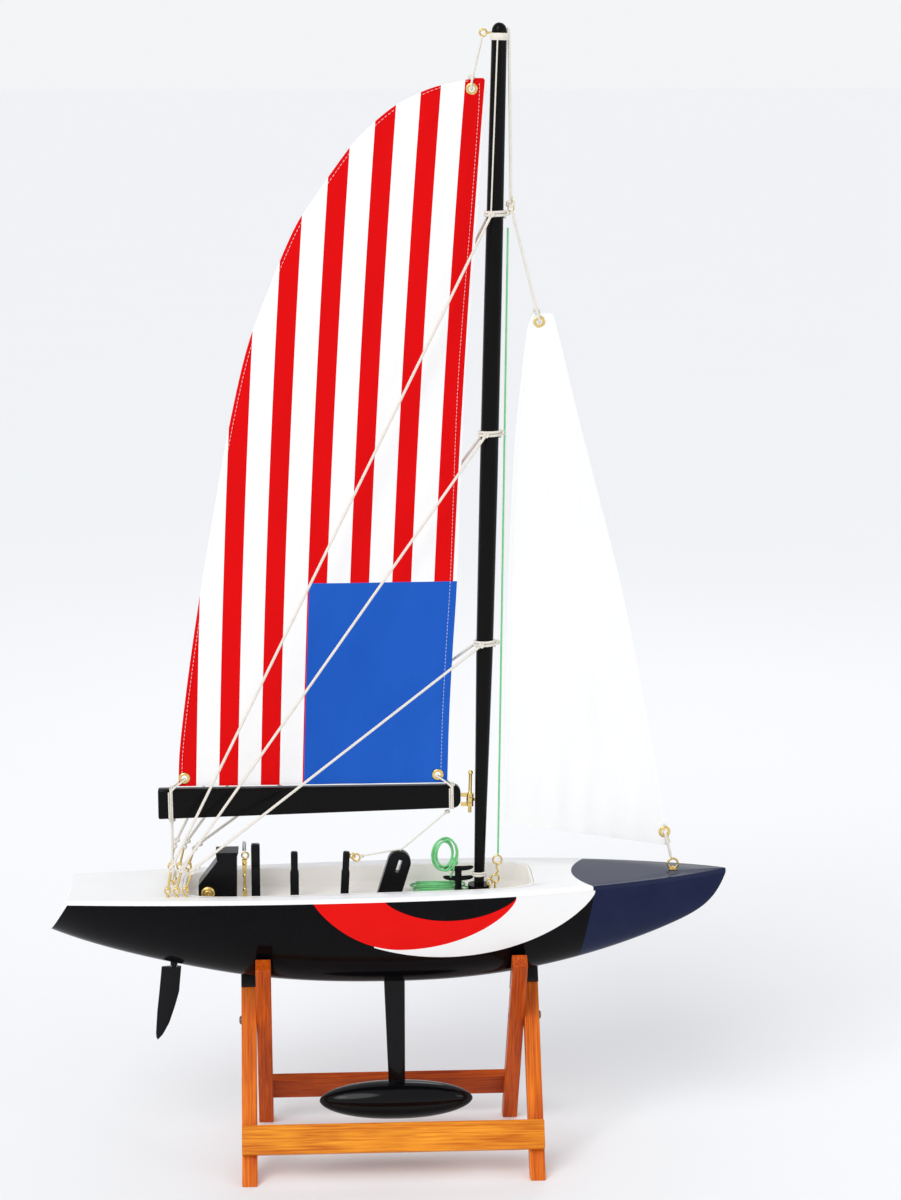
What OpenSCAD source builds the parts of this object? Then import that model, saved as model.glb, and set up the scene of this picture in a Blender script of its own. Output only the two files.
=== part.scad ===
// Radio controlled sailing yacht on a wooden display stand.
// Millimetres. +X is the bow, +Y is port, +Z is up. The origin is on the floor, in the middle of the stand.

/* [Hull] */
// Length of the hull from the transom tip to the stem
hull_len = 465; // [440:1:490]
// Greatest beam of the hull
beam = 89; // [84:0.5:96]
// Height of the lowest point of the hull bottom above the floor
bottom_z = 123; // [122:0.5:126]
// Height of the hull's top edge at the transom
sheer_z = 191; // [189:0.5:195]
// How much higher the top edge is at the bow
sheer_rise = 6.5; // [4:0.5:8]
// Thickness of the hull wall
wall = 3; // [2.5:0.1:3.5]
// Thickness of the deck
deck_t = 3; // [2.5:0.1:3.5]
// Depth of the sunken deck below the side deck
well_depth = 12; // [10:0.5:12]
// Half of the width of the sunken deck
well_half = 33.5; // [31:0.5:34]

/* [Keel and rudder] */
// Thickness of the keel fin
fin_t = 4; // [3:0.2:5]
// Length of the ballast bulb
bulb_len = 107; // [95:1:112]
// Diameter of the ballast bulb
bulb_d = 27; // [24:0.5:29]
// Height of the bulb's axis above the floor
bulb_z = 36; // [34:0.5:37]
// Thickness of the rudder blade
rudder_t = 4; // [4:0.1:5]
// Diameter of the rudder stock
stock_d = 3; // [2.5:0.1:3]

/* [Spars] */
// Greatest diameter of the mast
mast_d = 12.3; // [11.5:0.1:12.5]
// Forward lean of the mast in degrees
mast_lean = 1.2; // [0.8:0.1:1.4]
// Thickness of the boom
boom_t = 8; // [7:0.2:8.4]
// Depth of the boom at its aft end
boom_aft_h = 21; // [19:0.5:22]
// Depth of the boom at its fore end
boom_fore_h = 16; // [15:0.5:17]

/* [Sails and cords] */
// Thickness of the sail cloth, hems included
sail_t = 0.8; // [0.6:0.1:1]
// Diameter of the white cords
cord_d = 2; // [1.6:0.1:2.2]
// Diameter of the green cord
green_d = 1.4; // [1.2:0.1:1.6]
// Diameter of the brass wire of the screw eyes
wire_d = 1.4; // [1.2:0.1:1.6]

/* [Stand] */
// Half of the distance between the near and the far feet
foot_half = 58; // [56:0.5:60]
// Half of the distance between the two leg tops
top_half = 30; // [29:0.5:31]
// Height of the leg tops
leg_top_z = 146; // [144:0.5:147]
// Width of a leg's square section
leg_w = 10.4; // [9.6:0.1:10.6]
// Distance from the middle to the centre of an outer leg
outer_x = 98; // [96:0.5:100]
// Height of a rail's face
rail_h = 20; // [18:0.5:22]
// Thickness of a rail
rail_t = 6; // [5:0.5:7]

/* [Hidden] */
$fn = 48;

// Running clearance between a pin and its bore, on the diameter
fit = 0.1;
// Gap left between pieces that only lie beside each other
gap = 0.2;

// Hull form
end_x = hull_len / 2;
// How far the deck stops short of the transom foot
transom_set = 14;
transom_top_x = -end_x + transom_set;
stern_narrowing = 0.34;
bow_fullness = 2.4;
bow_roundness = 0.9;
section_power = 0.55;
transom_rise = 49.5;
stem_rise = 56;
stem_round = sheer_z + sheer_rise - bottom_z - stem_rise;
aft_rocker = 2.4;
fore_rocker = 2.2;
stem_power = 30;
sheer_power = 1.3;
camber = 0.3;

function ratio(x) = (x + end_x) / hull_len;
function half_beam(x) = x < 0
    ? beam / 2 * (1 - stern_narrowing * pow(-x / end_x, 2))
    : beam / 2 * pow(1 - pow(x / end_x, bow_fullness), bow_roundness);
function sheer(x) = sheer_z + sheer_rise * pow(max(0, ratio(x)), sheer_power);
function keel_z(x) = x < 0
    ? bottom_z + transom_rise * pow(-x / end_x, aft_rocker)
    : bottom_z + stem_rise * pow(x / end_x, fore_rocker) + stem_round * pow(x / end_x, stem_power);

// Stations run evenly from the transom to the middle, and crowd together towards the stem.
aft_stations = 9;
fore_stations = 18;
stem_turn = 87.5;
stations = [
    for (i = [0:aft_stations - 1]) transom_top_x * (1 - i / aft_stations),
    for (i = [0:fore_stations]) end_x * sin(stem_turn * i / fore_stations)
];
side_points = 10;
bottom_crowding = 1.7;
// The transom leans: its foot lies further aft than its top edge, and stations near it lean less and less.
lean_from_x = -120;
transom_slope = 0.55;
function lean_at(x) = transom_slope * pow(max(0, (lean_from_x - x) / (lean_from_x - transom_top_x)), 2);

// One section from the port edge down to the keel line and up to the starboard edge.
// inset is 0 outside and the wall thickness inside.
function section(x, at_x, inset) =
    let (b = max(0.25, half_beam(x) - inset), top = sheer(x), low = min(top - 0.5, keel_z(x) + inset))
    [
        for (k = [-side_points:side_points])
            let (
                t = pow(abs(k) / side_points, bottom_crowding),
                z = low + (top - low) * t,
                y = -sign(k) * b * pow(t, section_power)
            )
            [at_x - (top - z) * lean_at(x), y, z]
    ];
function inner_x(x) = x < 0
    ? x * (1 - wall / end_x)
    : x * (1 - 3 * wall / end_x);

// Well in the deck: its middle, its half length and the squareness of its outline
well_mid_x = -22;
well_half_len = 120;
well_square = 6;
well_aft_x = well_mid_x - 0.95 * well_half_len;
well_fore_x = well_mid_x + well_half_len;
well_wall = 2;
// The deck's edge, from the port quarter round the bow to the starboard quarter
deck_overhang = 0.3;
deck_edge = [
    for (x = stations) [x, half_beam(x) + deck_overhang],
    for (i = [len(stations) - 1:-1:0]) [stations[i], -half_beam(stations[i]) - deck_overhang]
];
function well_point(p, inset) =
    let (
        turn = atan2(p[1] / well_half, (p[0] - well_mid_x) / well_half_len),
        c = cos(turn),
        s = sin(turn)
    )
    [
        well_mid_x + sign(c) * (well_half_len - inset) * pow(abs(c), 2 / well_square),
        sign(s) * (well_half - inset) * pow(abs(s), 2 / well_square)
    ];
deck_top_z = sheer_z + 2.6 + deck_t;
floor_z = deck_top_z - well_depth - 1.8;
floor_t = 2;

// Mast and boom
mast_foot_x = 61.2;
mast_foot_z = floor_z + 1.5;
mast_top_z = 774;
step_h = 9;
step_d = 15;
mast_foot_d = 7;
mast_head_d = 10;
function mast_x(z) = mast_foot_x + (z - mast_foot_z) * tan(mast_lean);
pivot_x = 55;
pivot_z = 252;
boom_top_z = 263;
boom_aft_x = -157.5;
boom_fore_x = 48.5;
lashing_aft_x = -148.5;
lashing_fore_x = 42.5;
lashing_w = 3.2;
lashing_t = 1;
function boom_low_z(x) = boom_top_z - boom_fore_h
    - (boom_aft_h - boom_fore_h) * (boom_fore_x - x) / (boom_fore_x - boom_aft_x);
pin_d = 2.4;

// Sail fittings: outside diameter of a grommet, and how far a cord stands off the sail beside it
grommet_d = 8;
cord_off_y = sail_t / 2 + 0.5 + cord_d / 2 + 0.4;

// Mast loops: heights of the three stay loops
loop_z = [650, 504.5, 361.5];
head_loop_z = 763;
foot_loop_z = 199;

// Stays: the deck eyes, aft to fore, and the height at which a hook takes the cord
eye_x = [-151, -145, -139];
eye_y = 28.5;
hook_low_z = 203.5;
hook_high_z = 209;

// Jib axis: from the bow eye to the knot on the upper mast loop
bow_eye_x = 195.5;
bow_eye_z = 203;
knot_x = 81.5;
knot_z = 655;
tack_z = 227;
jib_head_z = 579;
function luff_x(z) = bow_eye_x - (bow_eye_x - knot_x) * (z - bow_eye_z) / (knot_z - bow_eye_z);

// Rudder linkage
stock_x = -149;
stock_top_z = 171.5;
tube_d = 5;
tube_low_z = 137.5;
tube_top_z = 165.5;
arm_r = 10;
arm_t = 2.4;
servo_x = -70;
link_z = 170.4;
link_d = 1.6;
tray_z = 155;
tray_t = 2;

// Stand
leg_slope = (foot_half + top_half) / leg_top_z;
leg_tilt = atan(leg_slope);
cross_z = foot_half / leg_slope;
inner_x_leg = outer_x - leg_w - 0.1;
screw_d = 3;
// Thickness of the four pads, aft to fore: the hull's side lies closer to some legs than to others
pad_t = [2.6, 1.9, 3.7, 4.8];
rail_from = 18;

// A round bar from one point to another
module bar(p, q, d) {
    v = q - p;
    translate(p)
        rotate([0, acos(v[2] / norm(v)), atan2(v[1], v[0])])
            cylinder(h = norm(v), d = d);
}

// A ring of round wire, lying in the XY plane
module wire_ring(ring_d, wire) {
    rotate_extrude()
        translate([ring_d / 2, 0])
            circle(d = wire);
}

// A screw eye: a stem that rises from p and an upright ring on top, facing the side of the boat
module screw_eye(p, ring_d, stem_h) {
    translate(p) {
        cylinder(h = stem_h, d = wire_d);
        cylinder(h = 0.8, d = wire_d * 2.2);
        translate([0, 0, stem_h + ring_d / 2])
            rotate([90, 0, 0])
                wire_ring(ring_d, wire_d);
    }
}

// A brass grommet through a sail, at [x, z]
module grommet(at, out_d) {
    translate([at[0], 0, at[1]])
        rotate([90, 0, 0])
            difference() {
                cylinder(h = sail_t + 1, d = out_d, center = true);
                cylinder(h = sail_t + 2, d = out_d * 0.5, center = true);
            }
}

// A flat piece cut to an outline in the XZ plane and centred on the middle plane of the boat
module upright_plate(outline, t) {
    rotate([90, 0, 0])
        linear_extrude(t, center = true)
            polygon(outline);
}

// Everything that follows the mast leans with it about the gooseneck pin
module leaning() {
    translate([pivot_x, 0, pivot_z])
        rotate([0, mast_lean, 0])
            children();
}

// ---- Stand ----

// A leg in the YZ plane from a foot to the opposite top. side is 1 for a foot to starboard, -1 for a foot to port.
module leg(x, side) {
    half_cut = leg_w / 2 / cos(leg_tilt);
    across = leg_w / 2 * cos(leg_tilt);
    up = leg_w / 2 * sin(leg_tilt);
    color("peru")
        translate([x - leg_w / 2, 0, 0])
            rotate([90, 0, 90])
                difference() {
                    linear_extrude(leg_w)
                        polygon([
                            [side * (-foot_half - half_cut), 0],
                            [side * (-foot_half + half_cut), 0],
                            [side * (top_half + across), leg_top_z - up],
                            [side * (top_half - across), leg_top_z + up]
                        ]);
                    translate([0, cross_z, -1])
                        cylinder(h = leg_w + 2, d = screw_d + fit);
                }
}

// A rail on the upper face of the two legs whose feet lie on one side
module rail(x_half, side) {
    color("peru")
        translate([0, -side * foot_half, 0])
            rotate([-side * leg_tilt, 0, 0])
                translate([-x_half, side > 0 ? -leg_w / 2 - rail_t : leg_w / 2, rail_from])
                    cube([2 * x_half, rail_t, rail_h]);
}

module stand_leg_aft_outer() {
    leg(-outer_x, 1);
}

module stand_leg_aft_inner() {
    leg(-inner_x_leg, -1);
}

module stand_leg_fore_inner() {
    leg(inner_x_leg, -1);
}

module stand_leg_fore_outer() {
    leg(outer_x, 1);
}

module stand_rail_front() {
    rail(outer_x + leg_w / 2, 1);
}

module stand_rail_rear() {
    rail(inner_x_leg + leg_w / 2, -1);
}

module stand_cross_screws() {
    head_d = 6;
    head_t = 1.6;
    shank = 2 * leg_w + 0.1;
    for (end = [-1, 1])
        color("dimgray")
            translate([end * (outer_x + leg_w / 2 + head_t), 0, cross_z])
                rotate([0, -end * 90, 0]) {
                    cylinder(h = head_t, d = head_d);
                    cylinder(h = head_t + shank - 1, d = screw_d);
                }
}

// Four soft pads on the inner faces of the leg tops
module stand_pads() {
    pad_len = 32;
    from_cross = 22;
    for (leg_at = [[-outer_x, 1, pad_t[0]], [-inner_x_leg, -1, pad_t[1]],
                   [inner_x_leg, -1, pad_t[2]], [outer_x, 1, pad_t[3]]])
        color("black")
            translate([leg_at[0] - leg_w / 2, 0, cross_z])
                rotate([-leg_at[1] * leg_tilt, 0, 0])
                    translate([0, leg_at[1] > 0 ? -leg_w / 2 - leg_at[2] : leg_w / 2, from_cross])
                        cube([leg_w, leg_at[2], pad_len]);
}

// ---- Hull ----

// The shell: an outer and an inner skin joined by a rim, open at the top
module shell_body() {
    rows = len(stations);
    row_len = 2 * side_points + 1;
    outer = [for (x = stations) each section(x, x, 0)];
    inner = [for (x = stations) each section(inner_x(x), inner_x(x), wall)];
    shift = rows * row_len;
    last = (rows - 1) * row_len;
    edge = row_len - 1;
    skin = [
        for (i = [0:rows - 2], k = [0:row_len - 2])
            let (a = i * row_len + k, b = a + row_len)
            each [[a, a + 1, b + 1], [a, b + 1, b]]
    ];
    rim = [
        for (i = [0:rows - 2], k = [0, edge])
            let (a = i * row_len + k, b = a + row_len, c = a + shift, d = b + shift)
            each k == 0 ? [[a, b, d], [a, d, c]] : [[a, d, b], [a, c, d]]
    ];
    stern_rim = [[0, shift, shift + edge], [0, shift + edge, edge]];
    bow_rim = [[last, last + edge, last + edge + shift], [last, last + edge + shift, last + shift]];
    caps = [
        [for (k = [edge:-1:0]) k],
        [for (k = [0:edge]) last + k],
        [for (k = [0:edge]) shift + k],
        [for (k = [edge:-1:0]) shift + last + k]
    ];
    inner_skin = [for (f = skin) [f[0] + shift, f[2] + shift, f[1] + shift]];
    polyhedron(concat(outer, inner), concat(skin, inner_skin, rim, stern_rim, bow_rim, caps), convexity = 6);
}

module hull_shell() {
    color("black")
        difference() {
            shell_body();
            translate([stock_x, 0, tube_low_z - 5])
                cylinder(h = 20, d = tube_d + fit / 2);
        }
}

// The opening of the well: a rounded outline whose points lie inward of the deck edge's points
module well_outline(inset) {
    polygon([for (p = deck_edge) well_point(p, inset)]);
}

// The deck is a plate between the edge of the hull and the opening of the well, with a little camber.
module deck() {
    n = len(deck_edge);
    lift = 0.02;
    points = concat(
        [for (p = deck_edge) [p[0], p[1], sheer(p[0]) + lift]],
        [for (p = deck_edge) [p[0], p[1], sheer(p[0]) + deck_t]],
        [for (p = deck_edge) let (q = well_point(p, 0)) [q[0], q[1], sheer(q[0]) + deck_t + camber]],
        [for (p = deck_edge) let (q = well_point(p, 0)) [q[0], q[1], sheer(q[0]) + lift]]
    );
    faces = [
        for (r = [0:3], i = [0:n - 1])
            let (
                next = (i + 1) % n,
                a = r * n + i,
                b = r * n + next,
                c = (r + 1) % 4 * n + next,
                d = (r + 1) % 4 * n + i
            )
            each [[a, b, c], [a, c, d]]
    ];
    color("white")
        polyhedron(points, faces, convexity = 6);
}

// A tray that hangs in the deck opening. Its rim slopes with the deck.
module sunken_deck() {
    rim_aft_z = sheer(well_aft_x) + deck_t + camber - 0.2;
    rim_fore_z = sheer(well_fore_x) + deck_t + camber - 0.2;
    rim_slope = atan((rim_fore_z - rim_aft_z) / (well_fore_x - well_aft_x));
    color("ivory")
        difference() {
            translate([0, 0, floor_z - floor_t])
                linear_extrude(25)
                    well_outline(0.02);
            translate([0, 0, floor_z])
                linear_extrude(25)
                    well_outline(well_wall);
            translate([well_aft_x, -50, rim_aft_z])
                rotate([0, -rim_slope, 0])
                    translate([-50, 0, 0])
                        cube([400, 100, 30]);
        }
}

module keel_fin() {
    fin_top_z = bottom_z - 0.05;
    bore_z = bulb_z + bulb_d / 2 - 1;
    color("black")
        upright_plate([[-4.5, fin_top_z], [10, fin_top_z], [10, bore_z], [-1.5, bore_z]], fin_t);
}

// The bulb is a turned body with a slot that takes the fin
module keel_bulb() {
    steps = 14;
    nose_power = 0.55;
    mid_x = 3.7;
    function r(u) = bulb_d / 2 * pow(1 - pow(abs(u), 2.2), nose_power);
    color("black")
        difference() {
            translate([mid_x, 0, bulb_z])
                rotate([0, 90, 0])
                    rotate_extrude()
                        polygon([for (i = [-steps:steps]) [r(i / steps), -i / steps * bulb_len / 2]]);
            translate([-1.6, -fin_t / 2 - 0.02, bulb_z + bulb_d / 2 - 1.02])
                cube([11.7, fin_t + 0.04, 4]);
        }
}

// ---- Rudder ----

module rudder_tube() {
    color("goldenrod")
        translate([stock_x, 0, tube_low_z])
            difference() {
                cylinder(h = tube_top_z - tube_low_z, d = tube_d);
                translate([0, 0, -1])
                    cylinder(h = tube_top_z - tube_low_z + 2, d = stock_d + fit);
            }
}

module rudder_blade() {
    outline = [
        [-144, 136.4], [-157.5, 136.4], [-160, 128], [-163, 112], [-166.5, 94],
        [-166.5, 86], [-163.5, 83.5], [-160, 85], [-153, 104], [-147, 122]
    ];
    color("black")
        difference() {
            upright_plate(outline, rudder_t);
            translate([stock_x, 0, 118])
                cylinder(h = 30, d = stock_d);
        }
}

module rudder_stock() {
    color("silver")
        translate([stock_x, 0, 118])
            cylinder(h = stock_top_z - 118, d = stock_d);
}

// An arm on a round hub, with a hole for the pushrod
module linkage_arm(x, y_dir, hub_d, hub_bore, r, hole) {
    difference() {
        union() {
            translate([x, 0, 0])
                cylinder(h = arm_t, d = hub_d);
            translate([x - 2, y_dir > 0 ? 0 : -r, 0])
                cube([4, r, arm_t]);
            translate([x, y_dir * r, 0])
                cylinder(h = arm_t, d = 4);
        }
        translate([x, 0, -1])
            cylinder(h = arm_t + 2, d = hub_bore);
        translate([x, y_dir * r, -1])
            cylinder(h = arm_t + 2, d = hole);
    }
}

module tiller_arm() {
    color("white")
        translate([0, 0, tube_top_z + gap])
            linkage_arm(stock_x, 1, 8, stock_d, arm_r, link_d + fit);
}

module rudder_servo_arm() {
    color("white")
        translate([0, 0, tube_top_z + gap])
            linkage_arm(servo_x, 1, 7, 2, arm_r, link_d + fit);
}

// A wire whose ends turn down into the two arms
module pushrod() {
    drop = link_z - tube_top_z - gap;
    color("silver") {
        for (x = [stock_x, servo_x])
            translate([x, arm_r, link_z - drop])
                cylinder(h = drop, d = link_d);
        translate([stock_x, arm_r, link_z])
            sphere(d = link_d);
        translate([servo_x, arm_r, link_z])
            sphere(d = link_d);
        bar([stock_x, arm_r, link_z], [servo_x, arm_r, link_z], link_d);
    }
}

// ---- Electronics under the sunken deck ----

sail_servo_x = -15;
sail_arm_z = 170;

module servo_tray() {
    color("tan")
        translate([0, 0, tray_z])
            difference() {
                translate([-95, -20, 0])
                    cube([170, 40, tray_t]);
                translate([servo_x - 9.1, -6.6, -1])
                    cube([28.2, 13.2, tray_t + 2]);
                translate([sail_servo_x - 25.1, -8.1, -1])
                    cube([34.2, 16.2, tray_t + 2]);
            }
}

// A servo body with two mounting ears and an output spline
module servo(x_from, len_x, width, low_z, spline_x, top_z) {
    ear = 5;
    translate([x_from, -width / 2, low_z])
        cube([len_x, width, top_z - low_z]);
    translate([x_from - ear, -width / 2, tray_z + tray_t])
        cube([len_x + 2 * ear, width, 2]);
    translate([spline_x, 0, top_z])
        cylinder(h = arm_t + gap, d = 2);
}

module rudder_servo() {
    color("dimgray")
        servo(servo_x - 9, 28, 13, 141, servo_x, tube_top_z);
}

module sail_servo() {
    color("dimgray")
        servo(sail_servo_x - 25, 34, 16, 140, sail_servo_x, sail_arm_z - gap);
}

module sail_servo_arm() {
    color("white")
        translate([0, 0, sail_arm_z])
            linkage_arm(sail_servo_x, -1, 8, 2, 22, 1.5);
}

module receiver() {
    color("black")
        translate([14, -10, tray_z + tray_t])
            cube([32, 20, 10]);
}

module battery_pack() {
    cell_d = 13.5;
    color("royalblue")
        for (y = [-cell_d / 2, cell_d / 2])
            translate([8, y, tray_z - cell_d / 2])
                rotate([0, 90, 0])
                    cylinder(h = 56, d = cell_d);
}

// ---- Mast ----

module mast() {
    length = mast_top_z - mast_foot_z;
    head_r = mast_head_d / 2;
    color("black")
        translate([mast_foot_x, 0, mast_foot_z])
            rotate([0, mast_lean, 0])
                rotate_extrude()
                    polygon([
                        [0, 0], [mast_foot_d / 2, 0], [mast_foot_d / 2, 12],
                        [mast_d * 0.47, 0.3 * length], [mast_d / 2, 0.48 * length], [mast_d * 0.48, 0.7 * length],
                        [head_r, length - 4], [head_r * 0.8, length - 1.6], [head_r * 0.4, length - 0.3], [0, length]
                    ]);
}

// A block on the sunken deck with a socket for the mast foot
module mast_step() {
    color("black")
        difference() {
            translate([mast_foot_x, 0, floor_z])
                cylinder(h = step_h, d = step_d);
            translate([mast_foot_x, 0, mast_foot_z])
                rotate([0, mast_lean, 0])
                    cylinder(h = step_h + 2, d = mast_foot_d);
        }
}

// Diameter of the mast at a height, between the turned stations
function mast_d_at(z) =
    let (u = (z - mast_foot_z) / (mast_top_z - mast_foot_z))
    lookup(u, [[0.02, mast_foot_d], [0.3, mast_d * 0.94], [0.48, mast_d], [0.7, mast_d * 0.96], [1, mast_head_d]]);

// A cord turned round the mast at height z
module mast_turn(z) {
    ring_d = mast_d_at(z) + cord_d + 0.1;
    translate([mast_x(z), 0, z])
        rotate([0, mast_lean, 0])
            wire_ring(ring_d, cord_d);
}

module mast_loops() {
    color("ivory")
        for (z = loop_z) {
            mast_turn(z + cord_d / 2);
            mast_turn(z - cord_d / 2 - 0.05);
        }
    color("ivory") {
        mast_turn(head_loop_z);
        mast_turn(foot_loop_z);
    }
}

module masthead_eye() {
    z = head_loop_z + 4;
    start_x = mast_x(z) - mast_d_at(z) / 2;
    color("gold") {
        bar([start_x - 3.5, 0, z], [start_x - 0.05, 0, z], wire_d);
        translate([start_x - 5.5, 0, z])
            rotate([90, 0, 0])
                wire_ring(4.4, wire_d);
    }
}

// ---- Gooseneck ----

// The mast half: a shank and a barrel round the pin
module gooseneck_mast_eye() {
    barrel_h = 3.6;
    reach = mast_x(pivot_z) - mast_d_at(pivot_z) / 2 - pivot_x;
    color("gold")
        leaning()
            difference() {
                union() {
                    translate([0, 0, -barrel_h / 2])
                        cylinder(h = barrel_h, d = 5);
                    rotate([0, 90, 0])
                        cylinder(h = reach, d = 1.8);
                }
                cylinder(h = 10, d = pin_d + fit, center = true);
            }
}

// The boom half: two leaves and the pin, screwed into the end of the boom
module gooseneck_boom_eye() {
    leaf_z = 2.1;
    leaf_h = 2.4;
    color("gold")
        leaning() {
            translate([0, 0, -9])
                cylinder(h = 29, d = pin_d);
            translate([0, 0, 19])
                sphere(d = 3.4);
            for (z = [leaf_z, -leaf_z - leaf_h])
                translate([0, 0, z]) {
                    cylinder(h = leaf_h, d = 5);
                    translate([boom_fore_x - pivot_x + 0.25, -1.1, 0])
                        cube([pivot_x - boom_fore_x - 0.25, 2.2, leaf_h]);
                }
        }
}

// ---- Boom ----

module boom() {
    nose_r = 5;
    nose_x = boom_fore_x - nose_r;
    nose_low_z = boom_low_z(boom_fore_x) + nose_r;
    color("black")
        union() {
            upright_plate([
                [boom_aft_x, boom_top_z], [nose_x, boom_top_z],
                [nose_x, boom_low_z(nose_x)], [boom_aft_x, boom_low_z(boom_aft_x)]
            ], boom_t);
            for (z = [boom_top_z - nose_r, nose_low_z])
                translate([nose_x, 0, z])
                    rotate([90, 0, 0])
                        cylinder(h = boom_t, r = nose_r, center = true);
            translate([nose_x - 1, -boom_t / 2, nose_low_z])
                cube([nose_r + 1, boom_t, boom_fore_h - 2 * nose_r]);
        }
}

// A band of cord round the boom
module boom_band(x) {
    low = boom_low_z(x - lashing_w / 2) - 0.05;
    height = boom_top_z - low + 0.05;
    translate([x - lashing_w / 2, 0, low])
        difference() {
            translate([0, -boom_t / 2 - lashing_t, -lashing_t])
                cube([lashing_w, boom_t + 2 * lashing_t, height + 2 * lashing_t]);
            translate([-1, -boom_t / 2 - 0.02, 0])
                cube([lashing_w + 2, boom_t + 0.04, height]);
        }
}

module boom_lashings() {
    color("ivory") {
        boom_band(lashing_aft_x);
        boom_band(lashing_fore_x);
    }
}

// ---- Sails ----

foot_z = boom_top_z + 1.4;
clew = [-139.5, foot_z + 5.5];
tack = [33, foot_z + 5.5];
head = [55.5, 731];
main_outline = [
    [-143.5, foot_z], [39.5, foot_z], [40.8, 310], [43, 354], [46, 403], [48, 458], [50.6, 528], [54, 580],
    [59.5, 650], [63, 699], [65, 733], [63, 738], [57, 738], [38.5, 734], [27.5, 731], [12, 724], [-0.5, 716],
    [-17.5, 701], [-28, 688.5], [-46, 663.5], [-60.5, 641.5], [-78, 602], [-93, 562], [-106, 508],
    [-117, 451], [-126, 401], [-135, 345], [-142, 292]
];

module mainsail() {
    color("firebrick")
        difference() {
            upright_plate(main_outline, sail_t);
            for (p = [clew, tack, head])
                translate([p[0], 0, p[1]])
                    rotate([90, 0, 0])
                        cylinder(h = 4, d = grommet_d, center = true);
        }
}

module mainsail_grommets() {
    color("gold")
        for (p = [clew, tack, head])
            grommet(p, grommet_d);
}

// From the head grommet up to the masthead eye
module mainsail_head_cord() {
    end_z = head_loop_z + 0.2;
    color("ivory")
        bar([head[0], -cord_off_y, head[1] - 1], [mast_x(end_z) - mast_d_at(end_z) / 2 - 6.2, 0, end_z], cord_d);
}

jib_tack = [luff_x(tack_z), tack_z];
jib_head = [luff_x(jib_head_z), jib_head_z];
jib_outline = [
    [78.5, 235], [97, 231], [118, 228], [140, 226], [165, 221.5], [190.5, 217.5], [192.8, 220], [191, 230],
    [182, 278], [170, 340], [156.5, 402.5], [142, 459], [127.5, 514], [111, 579.5], [108, 584.5], [96.5, 584.5],
    [92.5, 574], [88.3, 538], [84.5, 498], [82.4, 458], [80.4, 400], [79.3, 330], [78.5, 270]
];

module jib() {
    color("white")
        difference() {
            upright_plate(jib_outline, sail_t);
            for (p = [jib_tack, jib_head])
                translate([p[0], 0, p[1]])
                    rotate([90, 0, 0])
                        cylinder(h = 4, d = grommet_d, center = true);
        }
}

module jib_grommets() {
    color("gold")
        for (p = [jib_tack, jib_head])
            grommet(p, grommet_d);
}

// The two cords that hold the luff, along the axis that the jib swings about and on the sail's starboard face
module jib_cords() {
    start_z = bow_eye_z + 7;
    end_z = knot_z - 1.6;
    color("ivory") {
        bar([luff_x(start_z), -1.2, start_z], [luff_x(tack_z - 2), -cord_off_y, tack_z - 2], cord_d);
        bar([luff_x(jib_head_z - 1), -cord_off_y, jib_head_z - 1], [luff_x(end_z), 0, end_z], cord_d);
    }
}

// ---- Standing rigging ----

// A stay leaves the outside of its mast loop, a little aft of abeam
module stays(side) {
    leave = 20;
    color("ivory")
        for (i = [0:2]) {
            z = loop_z[i];
            r = mast_d_at(z) / 2 + 1.6 * cord_d;
            bar(
                [mast_x(z) - r * sin(leave), -side * r * cos(leave), z],
                [eye_x[i], -side * eye_y, hook_high_z],
                cord_d
            );
        }
}

module starboard_stays() {
    stays(1);
}

module port_stays() {
    stays(-1);
}

// A wire hook between each deck eye and its stay
module stay_hooks() {
    color("gold")
        for (side = [-1, 1], x = eye_x) {
            translate([x, side * eye_y, hook_low_z + 1.6])
                rotate([0, 90, 0])
                    wire_ring(3.4, 1);
            bar([x, side * eye_y, hook_low_z + 3.2], [x, side * eye_y, hook_high_z - 0.9], 1.2);
        }
}

module deck_eyes() {
    color("gold") {
        for (side = [-1, 1], x = eye_x)
            screw_eye([x, side * eye_y, sheer(x) + deck_t + camber + gap], 3.8, 2);
        screw_eye([lashing_aft_x, 0, sheer(lashing_aft_x) + deck_t + camber + gap], 4.2, 2);
    }
}

module bow_eye() {
    base_z = sheer(bow_eye_x) + deck_t + 0.2;
    ring_d = 7;
    eye_wire = 1.6;
    color("gold")
        translate([bow_eye_x, 0, base_z]) {
            cylinder(h = 0.9, d = 5);
            cylinder(h = eye_wire, d = 2);
            translate([0, 0, ring_d / 2 + 0.7])
                rotate([90, 0, 0])
                    wire_ring(ring_d, eye_wire);
        }
}

module mast_foot_eye() {
    color("gold") {
        screw_eye([72.5, 0, floor_z], 5.4, 10);
        translate([74, 0, floor_z + 26])
            rotate([90, 0, 0])
                wire_ring(6, wire_d);
        bar([73, 0, floor_z + 16.4], [73.8, 0, floor_z + 22.6], 1.6);
    }
}

module jib_halyard() {
    top_z = head_loop_z - 1.4;
    fore_x = mast_x(top_z) + mast_d_at(top_z) / 2 + 1.4;
    color("ivory") {
        bar([fore_x, 0, top_z], [knot_x, 0, knot_z + 3], cord_d);
        translate([knot_x, 0, knot_z + 1.6])
            sphere(d = 5);
    }
}

// The main halyard in green: down the fore side of the mast to the ring at its foot
module green_line() {
    color("mediumseagreen")
        bar([79.5, 0, 641], [74.4, 0, floor_z + 30], green_d);
}

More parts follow.
